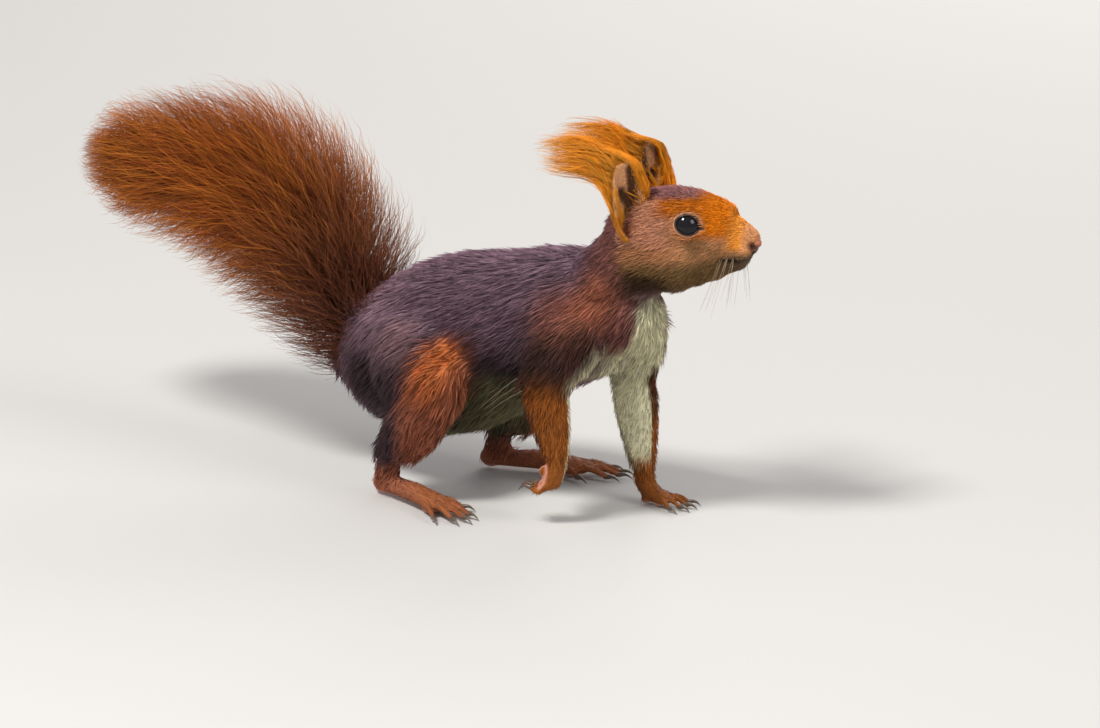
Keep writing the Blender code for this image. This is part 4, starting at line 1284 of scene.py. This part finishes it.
def lay_tufts_tree():
    """Geometry nodes that lay tufts over one region of the hide, following its lie."""
    tree = bpy.data.node_groups.new("lay_tufts", "GeometryNodeTree")
    made = tree.interface.new_socket
    made("Hide", in_out="INPUT", socket_type="NodeSocketGeometry")
    made("Tufts", in_out="INPUT", socket_type="NodeSocketCollection")
    made("Region", in_out="INPUT", socket_type="NodeSocketInt")
    made("Seed", in_out="INPUT", socket_type="NodeSocketInt")
    for name in ("Spacing", "Density", "Width", "Longer", "Higher", "Swirl", "Swirl size", "Stray"):
        made(name, in_out="INPUT", socket_type="NodeSocketFloat")
    made("Material", in_out="INPUT", socket_type="NodeSocketMaterial")
    made("Coat", in_out="OUTPUT", socket_type="NodeSocketGeometry")
    given = tree.nodes.new("NodeGroupInput").outputs

    def named(name, kind="FLOAT"):
        """What the hide keeps under a name."""
        node = add_node(tree, "GeometryNodeInputNamedAttribute", {"Name": name}, data_type=kind)
        return node.outputs["Attribute"]

    def chance(low, high, seed):
        """A random value at each point."""
        values = {"Min_001": low, "Max_001": high, "Seed": seed}
        node = add_node(tree, "FunctionNodeRandomValue", values, data_type="FLOAT")
        return next(s for s in node.outputs if s.identifier == "Value_001")

    def times(*factors):
        """The product of several values."""
        value = factors[0]
        for factor in factors[1:]:
            value = add_maths(tree, "MULTIPLY", value, factor)
        return value

    # Spots of one region of the hide, each with its lock's tint.
    chosen = {"A_INT": named("region", "INT"), "B_INT": given["Region"]}
    chosen = add_node(tree, "FunctionNodeCompare", chosen, data_type="INT", operation="EQUAL")
    spots = {
        "Mesh": given["Hide"],
        "Selection": chosen.outputs["Result"],
        "Distance Min": given["Spacing"],
        "Density Max": given["Density"],
        "Seed": given["Seed"],
    }
    spots = add_node(tree, "GeometryNodeDistributePointsOnFaces", spots, distribute_method="POISSON").outputs
    tinted_spots = add_node(
        tree,
        "GeometryNodeStoreNamedAttribute",
        {"Geometry": spots["Points"], "Name": "tint", "Value": chance(0.0, 1.0, 7)},
        data_type="FLOAT",
        domain="POINT",
    )

    # Each tuft lies the coat's way, turned a little with its neighbours and a little by itself.
    aimed = add_node(
        tree,
        "FunctionNodeAxesToRotation",
        {"Primary Axis": spots["Normal"], "Secondary Axis": named("lie", "FLOAT_VECTOR")},
        primary_axis="Z",
        secondary_axis="Y",
    )
    place = tree.nodes.new("GeometryNodeInputPosition").outputs[0]
    waves = {"Vector": place, "Scale": given["Swirl size"], "Detail": 1.0}
    wave = add_maths(tree, "SUBTRACT", add_node(tree, "ShaderNodeTexNoise", waves).outputs["Fac"], 0.5)
    yaw = add_maths(tree, "MULTIPLY_ADD", wave, given["Swirl"], times(chance(-1.0, 1.0, 3), given["Stray"]))
    turn = add_node(tree, "ShaderNodeCombineXYZ", {"Z": yaw})
    turn = add_node(tree, "FunctionNodeEulerToRotation", {"Euler": turn.outputs[0]})
    turned = {"Rotation": aimed.outputs["Rotation"], "Rotate By": turn.outputs["Rotation"]}
    turned = add_node(tree, "FunctionNodeRotateRotation", turned, rotation_space="LOCAL")

    # Its size follows the hair's length and the coat's depth there, and its shape is one of four.
    size = {
        "X": times(given["Width"], chance(0.8, 1.2, 4), MM),
        "Y": times(named("hair_length"), chance(0.72, 1.15, 5), given["Longer"], MM),
        "Z": times(named("coat_depth"), chance(0.7, 1.18, 6), given["Higher"], MM),
    }
    size = add_node(tree, "ShaderNodeCombineXYZ", size)
    shapes = {"Collection": given["Tufts"], "Separate Children": True, "Reset Children": True}
    shapes = add_node(tree, "GeometryNodeCollectionInfo", shapes)
    laid = {
        "Points": tinted_spots.outputs["Geometry"],
        "Instance": shapes.outputs["Instances"],
        "Pick Instance": True,
        "Rotation": turned.outputs["Rotation"],
        "Scale": size.outputs[0],
    }
    laid = add_node(tree, "GeometryNodeInstanceOnPoints", laid)
    pick = {"Min_002": 0, "Max_002": TUFT_SHAPES - 1, "Seed": 8}
    pick = add_node(tree, "FunctionNodeRandomValue", pick, data_type="INT")
    picked = next(s for s in pick.outputs if s.identifier == "Value_002")
    tree.links.new(picked, laid.inputs["Instance Index"])
    real = add_node(tree, "GeometryNodeRealizeInstances", {"Geometry": laid.outputs["Instances"]})

    # Its patch on the unwrap is a small square round the place of its root.
    spot = {"Vector": named("patch", "FLOAT_VECTOR"), "Vector_001": (-0.5, -0.5, 0.0)}
    baked = {
        "Vector": add_vector_maths(tree, "ADD", spot),
        "Vector_001": (BAKE_PATCH, BAKE_PATCH, 0.0),
        "Vector_002": named("root_place", "FLOAT_VECTOR"),
    }
    baked = add_vector_maths(tree, "MULTIPLY_ADD", baked)
    mapped = add_node(
        tree,
        "GeometryNodeStoreNamedAttribute",
        {"Geometry": real.outputs["Geometry"], "Name": "OFBake"},
        data_type="FLOAT2",
        domain="CORNER",
    )
    value = next(s for s in mapped.inputs if s.name == "Value" and s.enabled)
    tree.links.new(baked, value)
    painted = {"Geometry": mapped.outputs["Geometry"], "Material": given["Material"]}
    painted = add_node(tree, "GeometryNodeSetMaterial", painted)
    out = tree.nodes.new("NodeGroupOutput")
    tree.links.new(painted.outputs["Geometry"], out.inputs["Coat"])
    return tree


def tuft_shapes(name, width, spread):
    """A collection of differing tufts."""
    shapes = bpy.data.collections.new(name)
    bpy.context.scene.collection.children.link(shapes)
    for number in range(TUFT_SHAPES):
        mesh = tuft_mesh(f"{name}_{number}", TUFT_HAIRS, width, spread, number + 20)
        shapes.objects.link(bpy.data.objects.new(f"{name}_{number}", mesh))
    return shapes


LAY_TUFTS = lay_tufts_tree()
BODY_TUFTS = tuft_shapes("body_tuft", 0.13, 0.42)
FINE_TUFTS = tuft_shapes("fine_tuft", 0.08, 0.26)

# A plain copy of the hide that also keeps its unwrap, for the tufts to take.
ground = object_of("tuft_ground", skin.data.copy())
unwrap = read_values(ground.data.uv_layers["OFBake"].data, "uv", 2, np.float32)
flat_places = np.zeros((len(unwrap), 3))
flat_places[:, :2] = np.clip(unwrap, 0.002, 0.998)
store(ground.data, "root_place", "FLOAT_VECTOR", flat_places, "CORNER")
ground.data.uv_layers.remove(ground.data.uv_layers["OFBake"])

areas = read_values(skin.data.polygons, "area", kind=np.float32)
COAT_SCALE = 1.0
# How fine the swirls of the coat are, how far each tuft strays from them, and how far it clears the floor.
SWIRL_SIZE, STRAY, FLOOR_CLEAR = 110.0, 0.16, 0.05


def lay_coat(name, slot, number, shapes, triangles, material, longer=1.0, higher=1.0, width=1.0, swirl=1.1):
    """Lays about a number of triangles of tufts over one region of the hide, as a piece."""
    tufts = COAT_SCALE * triangles / (HAIR_TRIANGLES * TUFT_HAIRS)
    density = tufts / areas[region == number].sum()
    lay = ground.modifiers.new("lay", "NODES")
    lay.node_group = LAY_TUFTS
    given = {
        "Tufts": shapes,
        "Region": number,
        "Seed": number * 10 + 3,
        "Spacing": 0.55 / math.sqrt(density),
        "Density": density * 1.6,
        "Width": width,
        "Longer": longer,
        "Higher": higher,
        "Swirl": swirl,
        "Swirl size": SWIRL_SIZE,
        "Stray": STRAY,
        "Material": material,
    }
    for socket in LAY_TUFTS.interface.items_tree:
        if socket.name in given:
            lay[socket.identifier] = given[socket.name]
    piece = object_of(name, evaluated_mesh(ground))
    ground.modifiers.remove(lay)
    grown = read_points(piece.data)
    grown[:, 2] = np.maximum(grown[:, 2], FLOOR_CLEAR * MM)
    write_points(piece.data, grown)
    for attribute in ("root_place", "lie", "hair_length", "coat_depth", "bare", "region"):
        found = piece.data.attributes.get(attribute)
        if found:
            piece.data.attributes.remove(found)
    piece.data.shade_smooth()
    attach(piece, "root")


body_fur = fur_material("body_fur", root=0.42, tip=1.45, varied=1.0)
face_fur = fur_material("face_fur", root=0.52, tip=1.22, varied=0.65)
long_coat = {"longer": 1.15, "higher": 0.8, "width": 0.85}
lay_coat("coat_face", "coat_head", FACE, FINE_TUFTS, 130000, face_fur, swirl=0.8)
lay_coat("coat_head", "coat_head", HEAD, FINE_TUFTS, 160000, face_fur, swirl=0.8, width=1.25)
lay_coat("coat_ears", "ear_skin", EARS, FINE_TUFTS, 40000, face_fur)
lay_coat("coat_neck", "coat_back", NECK, BODY_TUFTS, 160000, body_fur, **{**long_coat, "higher": 0.85})
lay_coat("coat_back", "coat_back", BACK, BODY_TUFTS, 145000, body_fur, **long_coat)
lay_coat("coat_rump", "coat_back", RUMP, BODY_TUFTS, 172000, body_fur, **long_coat)
lay_coat("coat_legs", "coat_red", LEGS, BODY_TUFTS, 90000, body_fur, width=0.8)
lay_coat("coat_feet", "coat_feet", FEET_COAT, FINE_TUFTS, 60000, face_fur)
bpy.data.objects.remove(ground, do_unlink=True)
for shapes in (BODY_TUFTS, FINE_TUFTS):
    for shape in list(shapes.objects):
        bpy.data.objects.remove(shape, do_unlink=True)
    bpy.data.collections.remove(shapes)

# ---------------------------------------------------------------------------------------------------
# Tail: a brush of long wavy hairs all round the tail bones, leaving them on both sides and above,
# dark at the root and rusty towards the fringe, each sweeping out and on towards the tip.
# ---------------------------------------------------------------------------------------------------
# Middle line of the brush and how far its hair reaches across and up, down to the tip.
TAIL_BRUSH = [
    (0, 34, 44, 21, 26),
    (0, 50, 66, 31, 37),
    (0, 65, 85, 37, 41),
    (0, 85, 98.5, 39, 42),
    (0, 108, 104.5, 38, 38),
    (0, 134, 104.5, 32, 31),
    (0, 155, 103.5, 25, 25),
    (0, 167.3, 101.5, 14, 15),
]
brush = curve_through(TAIL_BRUSH, 400)
brush_middle = brush[:, :3] + np.array((0, -MEASURED_FROM, 0))
brush_along = unit(np.gradient(brush_middle, axis=0))
brush_side = np.tile(np.array((1.0, 0.0, 0.0)), (len(brush), 1))
brush_up = unit(np.cross(brush_side, brush_along))
brush_up *= np.sign(brush_up[:, 2:3])


def along_rows(rows, share):
    """Rows read at shares from 0 to 1, between their neighbours, and on past the last one."""
    place = np.maximum(share, 0) * (len(rows) - 1)
    low = np.clip(place.astype(int), 0, len(rows) - 2)
    part = (place - low)[..., None]
    return rows[low] * (1 - part) + rows[low + 1] * part


skin_points = read_points(skin.data)
point_unwrap = np.zeros((len(skin_points), 2))
point_unwrap[read_values(skin.data.loops, "vertex_index")] = unwrap


def unwrap_near(roots, wanted):
    """The hide's unwrap at the point nearest each root, among the points wanted."""
    chosen = np.flatnonzero(wanted)
    tree = KDTree(len(chosen))
    for index in chosen:
        tree.insert(skin_points[index], int(index))
    tree.balance()
    nearest = np.array([tree.find(root)[1] for root in roots])
    return point_unwrap[nearest]


def hair_piece(name, paths, widths, markings, tints, places, material):
    """A piece made of hairs along paths, each with its own marking, tint and place on the unwrap."""
    points, triangles, strand, share, round_share = strands(paths, widths)
    piece = object_of(name, triangle_mesh(name, points, triangles))
    store(piece.data, "marking", "FLOAT_COLOR", markings[strand])
    store(piece.data, "tint", "FLOAT", tints[strand])
    patch = np.stack((round_share, share), 1)
    corner = triangles.ravel()
    store(piece.data, "patch", "FLOAT2", patch[corner], "CORNER")
    baked = np.clip(places[strand] + (patch - 0.5) * BAKE_PATCH, 0.0, 1.0)
    mapped = piece.data.uv_layers.new(name="OFBake")
    mapped.data.foreach_set("uv", baked[corner].astype(np.float32).ravel())
    piece.data.materials.append(material)
    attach(piece, "root")
    return piece


# Hairs in a lock of the tail, and how far it stays above the floor.
TAIL_LOCK, TAIL_CLEAR = 3, 1.0


def tail_hairs(chance, count, first, last):
    """Hairs rooted between two shares of the way along the tail: their paths, half widths, place of
    their roots, reach and tints.
    """
    locks = count // TAIL_LOCK
    count = locks * TAIL_LOCK
    steps = np.linspace(0, 1, 6)

    def by_lock(low, high):
        """A random value for each lock, the same for each of its hairs."""
        return np.repeat(chance.uniform(low, high, locks), TAIL_LOCK)

    # A lock's place along the tail and round it, how far it reaches out and how far it sweeps on.
    place = by_lock(first, last)
    turn = by_lock(0, 2 * math.pi) + chance.normal(0, 0.08, count)
    reach = np.repeat(chance.beta(2.6, 1.2, locks) * 0.56 + 0.48, TAIL_LOCK)
    reach = reach * chance.uniform(0.84, 1.07, count)
    sweep = by_lock(0.05, 0.17) + chance.normal(0, 0.018, count)

    # Towards the tip about half the locks fill the inside of the brush and close its end.
    closing = by_lock(0, 1) < 0.5 * eased(0.6, 0.8, place)
    reach = np.where(closing, reach * by_lock(0.02, 0.9) ** 0.6, reach)
    sweep = np.where(closing, np.maximum(sweep, 1.02 - place), sweep)
    sweep = np.maximum(sweep, 0.01) * (0.6 + 0.4 * eased(0.0, 0.2, place)) + 0.06 * np.clip(place, 0, 1)
    start = place + chance.normal(0, 0.008, count)
    station = start[:, None] + sweep[:, None] * steps**1.35
    station = np.minimum(station, np.where(closing, 1.08, 1.05)[:, None])

    # Each hair leaves the flesh of the bones, bends over, and ends at its share of the brush's reach.
    here = along_rows(np.concatenate((brush_middle, brush_side, brush_up, brush[:, 3:]), 1), station)
    middle, side, up, half = here[..., :3], here[..., 3:6], here[..., 6:9], here[..., 9:]
    turns = turn[:, None] + chance.normal(0, 0.26, count)[:, None] * steps
    flesh = (6.0 - 4.6 * np.clip(start, 0, 1))[:, None] * 0.8
    out = 1 - (1 - steps) ** 1.5
    across = flesh + (half[..., 0] * reach[:, None] - flesh) * out
    height = flesh + (half[..., 1] * reach[:, None] - flesh) * out
    away = side * np.cos(turns)[..., None] + up * np.sin(turns)[..., None]
    path = middle + side * (across * np.cos(turns))[..., None] + up * (height * np.sin(turns))[..., None]

    # Waves grow along it, and the last part strays.
    wave = by_lock(0, 2 * math.pi)[:, None]
    wave = wave + chance.normal(0, 0.5, (count, 1)) + steps * chance.uniform(5, 11, (count, 1))
    size = chance.uniform(0.6, 2.8, (count, 1)) * steps
    tangent = unit(np.cross(np.gradient(path, axis=1), away))
    path = path + tangent * (np.sin(wave) * size)[..., None] + away * (np.cos(wave) * size * 0.6)[..., None]
    path += chance.normal(0, 0.5, path.shape) * steps[:, None]
    path[..., 2] = np.maximum(path[..., 2], TAIL_CLEAR)
    widths = chance.uniform(0.085, 0.13, (count, 1)) * (1 - 0.75 * steps**1.5)
    tints = by_lock(0, 1) + chance.normal(0, 0.12, count)
    return path * MM, widths * MM, start, reach, np.clip(tints, 0, 1)


TAIL_DARK, TAIL_RUSTY, TAIL_TAWNY = (0.12, 0.038, 0.02), (0.235, 0.052, 0.007), (0.42, 0.142, 0.012)


def tail_markings(start, reach):
    """Dark near the body, rusty along the middle and tip, tawny in the longest hairs of the fringe, partly
    their own colour and partly a painted glow of light through them.
    """
    colours = np.tile(np.array(TAIL_DARK), (len(start), 1))
    for colour, share in (
        (TAIL_RUSTY, eased(0.05, 0.42, start)),
        (TAIL_TAWNY, eased(0.45, 0.9, start) * 0.3),
        # Painted glow: the longest hairs of the fringe are paler, as if lit through from behind.
        (TAIL_TAWNY, 0.75 * eased(0.86, 1.06, reach) * eased(0.0, 0.3, start)),
    ):
        colours += share[:, None] * (np.array(colour) - colours)
    return colours


tail_fur = fur_material("tail_fur", roughness=0.6, root=0.35, tip=1.5, varied=0.9)
chance = np.random.default_rng(5)
tail_skin = near_tail(skin_points) > 0.5
TAIL_HAIRS = 4700
for length, first, last in (("base", 0.0, 0.27), ("middle", 0.27, 0.52), ("end", 0.52, 0.82)):
    paths, widths, start, reach, tints = tail_hairs(chance, int(TAIL_HAIRS * COAT_SCALE), first, last)
    places = unwrap_near(paths[:, 0], tail_skin)
    markings = tail_markings(start, reach)
    hair = hair_piece(f"tail_hair_{length}", paths, widths, markings, tints, places, tail_fur)
    node = f"tail_{length}"
    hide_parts(node)

# ---------------------------------------------------------------------------------------------------
# Ear tufts: the long soft hair that a red squirrel carries on its ears, rooted on the back and rim
# of each ear and blown back level over the neck like a flame.
# ---------------------------------------------------------------------------------------------------
EAR_FLAME = [
    (12.6, 52, 15, 4.0, 4.0),
    (12.6, 55.5, 22, 5.0, 6.0),
    (12.4, 61, 28.5, 5.5, 8.0),
    (12.0, 69, 30.5, 5.5, 7.6),
    (11.0, 81, 30, 4.4, 6.8),
    (10.0, 90, 29.5, 3.0, 4.6),
]
# The forward edge of an ear, as height above its root and distance out from its middle.
EAR_EDGE = ((0, 3.4), (3, 4.6), (8, 6.6), (14, 7.4), (20, 7.0), (25, 5.8), (29.5, 4.2))
# Hairs in each tuft and in each of its locks, and the share of the locks rooted in front of the ear.
EAR_TUFT_HAIRS, EAR_LOCK, FROM_FRONT = 2700, 6, 0.42
# The tufts' own orange, brightened as a painted glow of light shining through the hair.
FLAME_LOW, FLAME_HIGH = (0.74, 0.31, 0.03), (0.84, 0.27, 0.006)
flame_fur = fur_material("ear_tuft_fur", roughness=0.55, root=0.7, tip=1.25, varied=0.6)
skin_on_ears = near_ears(skin_points) > 0.5
skin_head_at = head_places(skin_points)
skin_normals = read_normals(skin.data)
facing_back = skin_normals @ head_turned(0, 1, 0)
locks = int(EAR_TUFT_HAIRS * COAT_SCALE) // EAR_LOCK
count = locks * EAR_LOCK
steps = np.linspace(0, 1, 6)


def by_lock(low, high):
    """A random value for each lock of an ear tuft, the same for each of its hairs."""
    return np.repeat(chance.uniform(low, high, locks), EAR_LOCK)


def joined_path(begin, path, share):
    """Hairs that leave the ear where they begin and join a path by this share of their length."""
    joined = eased(0.0, share, steps)[None, :, None]
    return begin[:, None, :] * (1 - joined) + path * joined


for name, side in SIDES.items():
    # Roots are on the back of the ear, or in front of it along its forward edge.
    own = skin_on_ears & (skin_head_at[:, 0] * side > 0) & (ear_hollow < 0.3)
    across, up, half_width = ear_places(skin_points, name)
    behind = np.flatnonzero(own & (facing_back > -0.1) & (skin_head_at[:, 2] > 3.5))
    before = np.flatnonzero(own & (across > 0.45 * half_width) & (up > 1) & (up < 25))
    from_front = chance.uniform(0, 1, locks) < FROM_FRONT
    picked_before = before[chance.integers(0, len(before), locks)]
    picked_behind = behind[chance.integers(0, len(behind), locks)]
    root = np.repeat(np.where(from_front, picked_before, picked_behind), EAR_LOCK)

    # Stations along the flame, which the hairs leave at differing lengths, in locks that wave together.
    flame = curve_through([(side * row[0], *row[1:]) for row in EAR_FLAME], 200)
    height = np.clip((skin_head_at[root, 2] - 8) / 22.0, 0, 1)
    first = 0.08 + 0.28 * height + by_lock(-0.03, 0.05)
    last = first + by_lock(0.3, 0.62) + chance.normal(0, 0.03, count)
    last = np.minimum(last, chance.uniform(0.8, 0.97, count))
    here = along_rows(flame, first[:, None] + (last - first)[:, None] * steps)
    spread = np.repeat(np.sqrt(chance.uniform(0, 1, locks)), EAR_LOCK)[:, None]
    spread = spread + chance.normal(0, 0.16, (count, 1)) * steps
    turn = by_lock(0, 2 * math.pi)[:, None] + chance.normal(0, 0.28, (count, 1)) * steps
    wave = by_lock(0, 2 * math.pi)[:, None] + steps * chance.uniform(4, 9, (count, 1))
    blown = here[..., :3].copy()
    blown[..., 0] += here[..., 3] * spread * np.cos(turn)
    blown[..., 2] += here[..., 4] * spread * np.sin(turn)
    blown[..., 2] += np.sin(wave) * steps * 1.0
    blown[..., 0] += np.cos(wave) * steps * 0.8

    # The hair behind an ear rises off it and bends back into the flame.
    normal = np.stack([skin_normals[root] @ head_turned(*a) for a in np.eye(3)], 1)
    begin = skin_head_at[root] - normal * 0.3 + chance.normal(0, 0.35, (count, 3))
    rising = np.sin(math.pi * np.clip(steps / 0.6, 0, 1))[None, :, None]
    behind_path = joined_path(begin, blown, 0.6)
    behind_path += (normal + np.array((0.0, 0.0, 1.2)))[:, None, :] * rising

    # The hair in front of an ear runs up its forward edge and over into the flame.
    edge = np.array((math.cos(side * EAR_TURN[name]), math.sin(side * EAR_TURN[name]), 0.0))
    opened = np.array((side * math.sin(EAR_TURN[name]), -math.cos(EAR_TURN[name]), 0.0))
    band = []
    for above, out in EAR_EDGE:
        beside, back = side * EAR_ROOT[0] + edge[0] * out, EAR_ROOT[1] + edge[1] * out + 0.2 * above
        band.append((beside, back, EAR_ROOT[2] + above))
    band += [(side * 12.0, 53, 33.5), (side * 12.0, 60, 34.5), (side * 11.8, 68, 34.2)]
    band = curve_through(band, 200)
    from_root = np.interp(up[root], band[:, 2] - EAR_ROOT[2], np.linspace(0, 1, len(band)))
    reach = by_lock(0.2, 0.4) + chance.normal(0, 0.03, count)
    here = along_rows(band, np.minimum(from_root[:, None] + reach[:, None] * steps, 1.0))
    aside = by_lock(-1.7, 1.5) + chance.normal(0, 0.35, count)
    over = by_lock(-0.6, 1.6) + chance.normal(0, 0.2, count)
    off_band = edge * aside[:, None] + opened * over[:, None]
    before_path = joined_path(begin, here + off_band[:, None, :], 0.4)
    before_path += edge * (np.sin(wave) * steps * 0.5)[..., None]

    local = np.where(np.repeat(from_front, EAR_LOCK)[:, None, None], before_path, behind_path)
    x, y, z = np.moveaxis(local, -1, 0)
    paths = at(*NOSE_TIP) + np.moveaxis(head_turned(x, y, z), 0, -1) * MM
    widths = chance.uniform(0.08, 0.12, (count, 1)) * (1 - 0.75 * steps**1.5) * MM
    low = eased(0.35, 0.95, last)[:, None]
    markings = np.array(FLAME_HIGH) * (1 - low) + np.array(FLAME_LOW) * low
    tints = np.clip(by_lock(0, 1) + chance.normal(0, 0.15, count), 0, 1)
    hair = hair_piece(f"ear_tuft_hair_{name}", paths, widths, markings, tints, point_unwrap[root], flame_fur)
    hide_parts(f"ear_tuft_{name}")

# ---------------------------------------------------------------------------------------------------
# Setting: a plain pale floor, soft studio light from the upper left, and the camera, which looks at
# the animal from in front of its right shoulder and a little above.
# ---------------------------------------------------------------------------------------------------
floor_builder = bmesh.new()
bmesh.ops.create_grid(floor_builder, x_segments=1, y_segments=1, size=6.0)
floor = object_of("floor", built_mesh("floor", floor_builder))
floor.data.materials.append(plain_material("floor_paper", (0.5, 0.49, 0.475), 0.9))

scene = bpy.context.scene
CAMERA_SIDE = Vector((0.602, -0.799, 0.0))
CAMERA_UP = Vector((0.207, 0.156, 0.966))
CAMERA_BACK = Vector((-0.771, -0.581, 0.259))
CAMERA_AWAY, CAMERA_LENS = 10.44, 900
target = CAMERA_SIDE * 0.05356 + CAMERA_UP * 0.04217 + CAMERA_BACK * 0.0297
camera = bpy.data.objects.new("camera", bpy.data.cameras.new("camera"))
scene.collection.objects.link(camera)
camera.location = target + CAMERA_BACK * CAMERA_AWAY
camera.rotation_euler = (-CAMERA_BACK).to_track_quat("-Z", "Y").to_euler()
camera.data.lens = CAMERA_LENS
camera.data.sensor_width = 36
camera.data.clip_start = 0.05
scene.camera = camera


def soft_light(name, aside, above, back, size, power, colour):
    """A square lamp turned to the animal, from shares of the camera's own directions."""
    lamp = bpy.data.objects.new(name, bpy.data.lights.new(name, "AREA"))
    scene.collection.objects.link(lamp)
    away = CAMERA_SIDE * aside + Vector((0, 0, 1)) * above + CAMERA_BACK * back
    lamp.location = target + away
    lamp.rotation_euler = away.to_track_quat("Z", "Y").to_euler()
    lamp.data.size = size
    lamp.data.energy = power
    lamp.data.color = colour


soft_light("key", -0.7, 1.25, 0.75, 0.4, 33.0, (1.0, 0.98, 0.94))
soft_light("fill", 1.2, 0.7, 0.9, 0.7, 10.0, (1.0, 0.98, 0.96))
soft_light("rim", 0.4, 0.9, -1.3, 0.8, 9.0, (1.0, 0.98, 0.96))
sky = bpy.data.worlds.new("studio")
sky.use_nodes = True
sky.node_tree.nodes["Background"].inputs["Color"].default_value = (0.97, 0.97, 1.0, 1.0)
sky.node_tree.nodes["Background"].inputs["Strength"].default_value = 0.5
scene.world = sky
scene.view_settings.view_transform = "Standard"
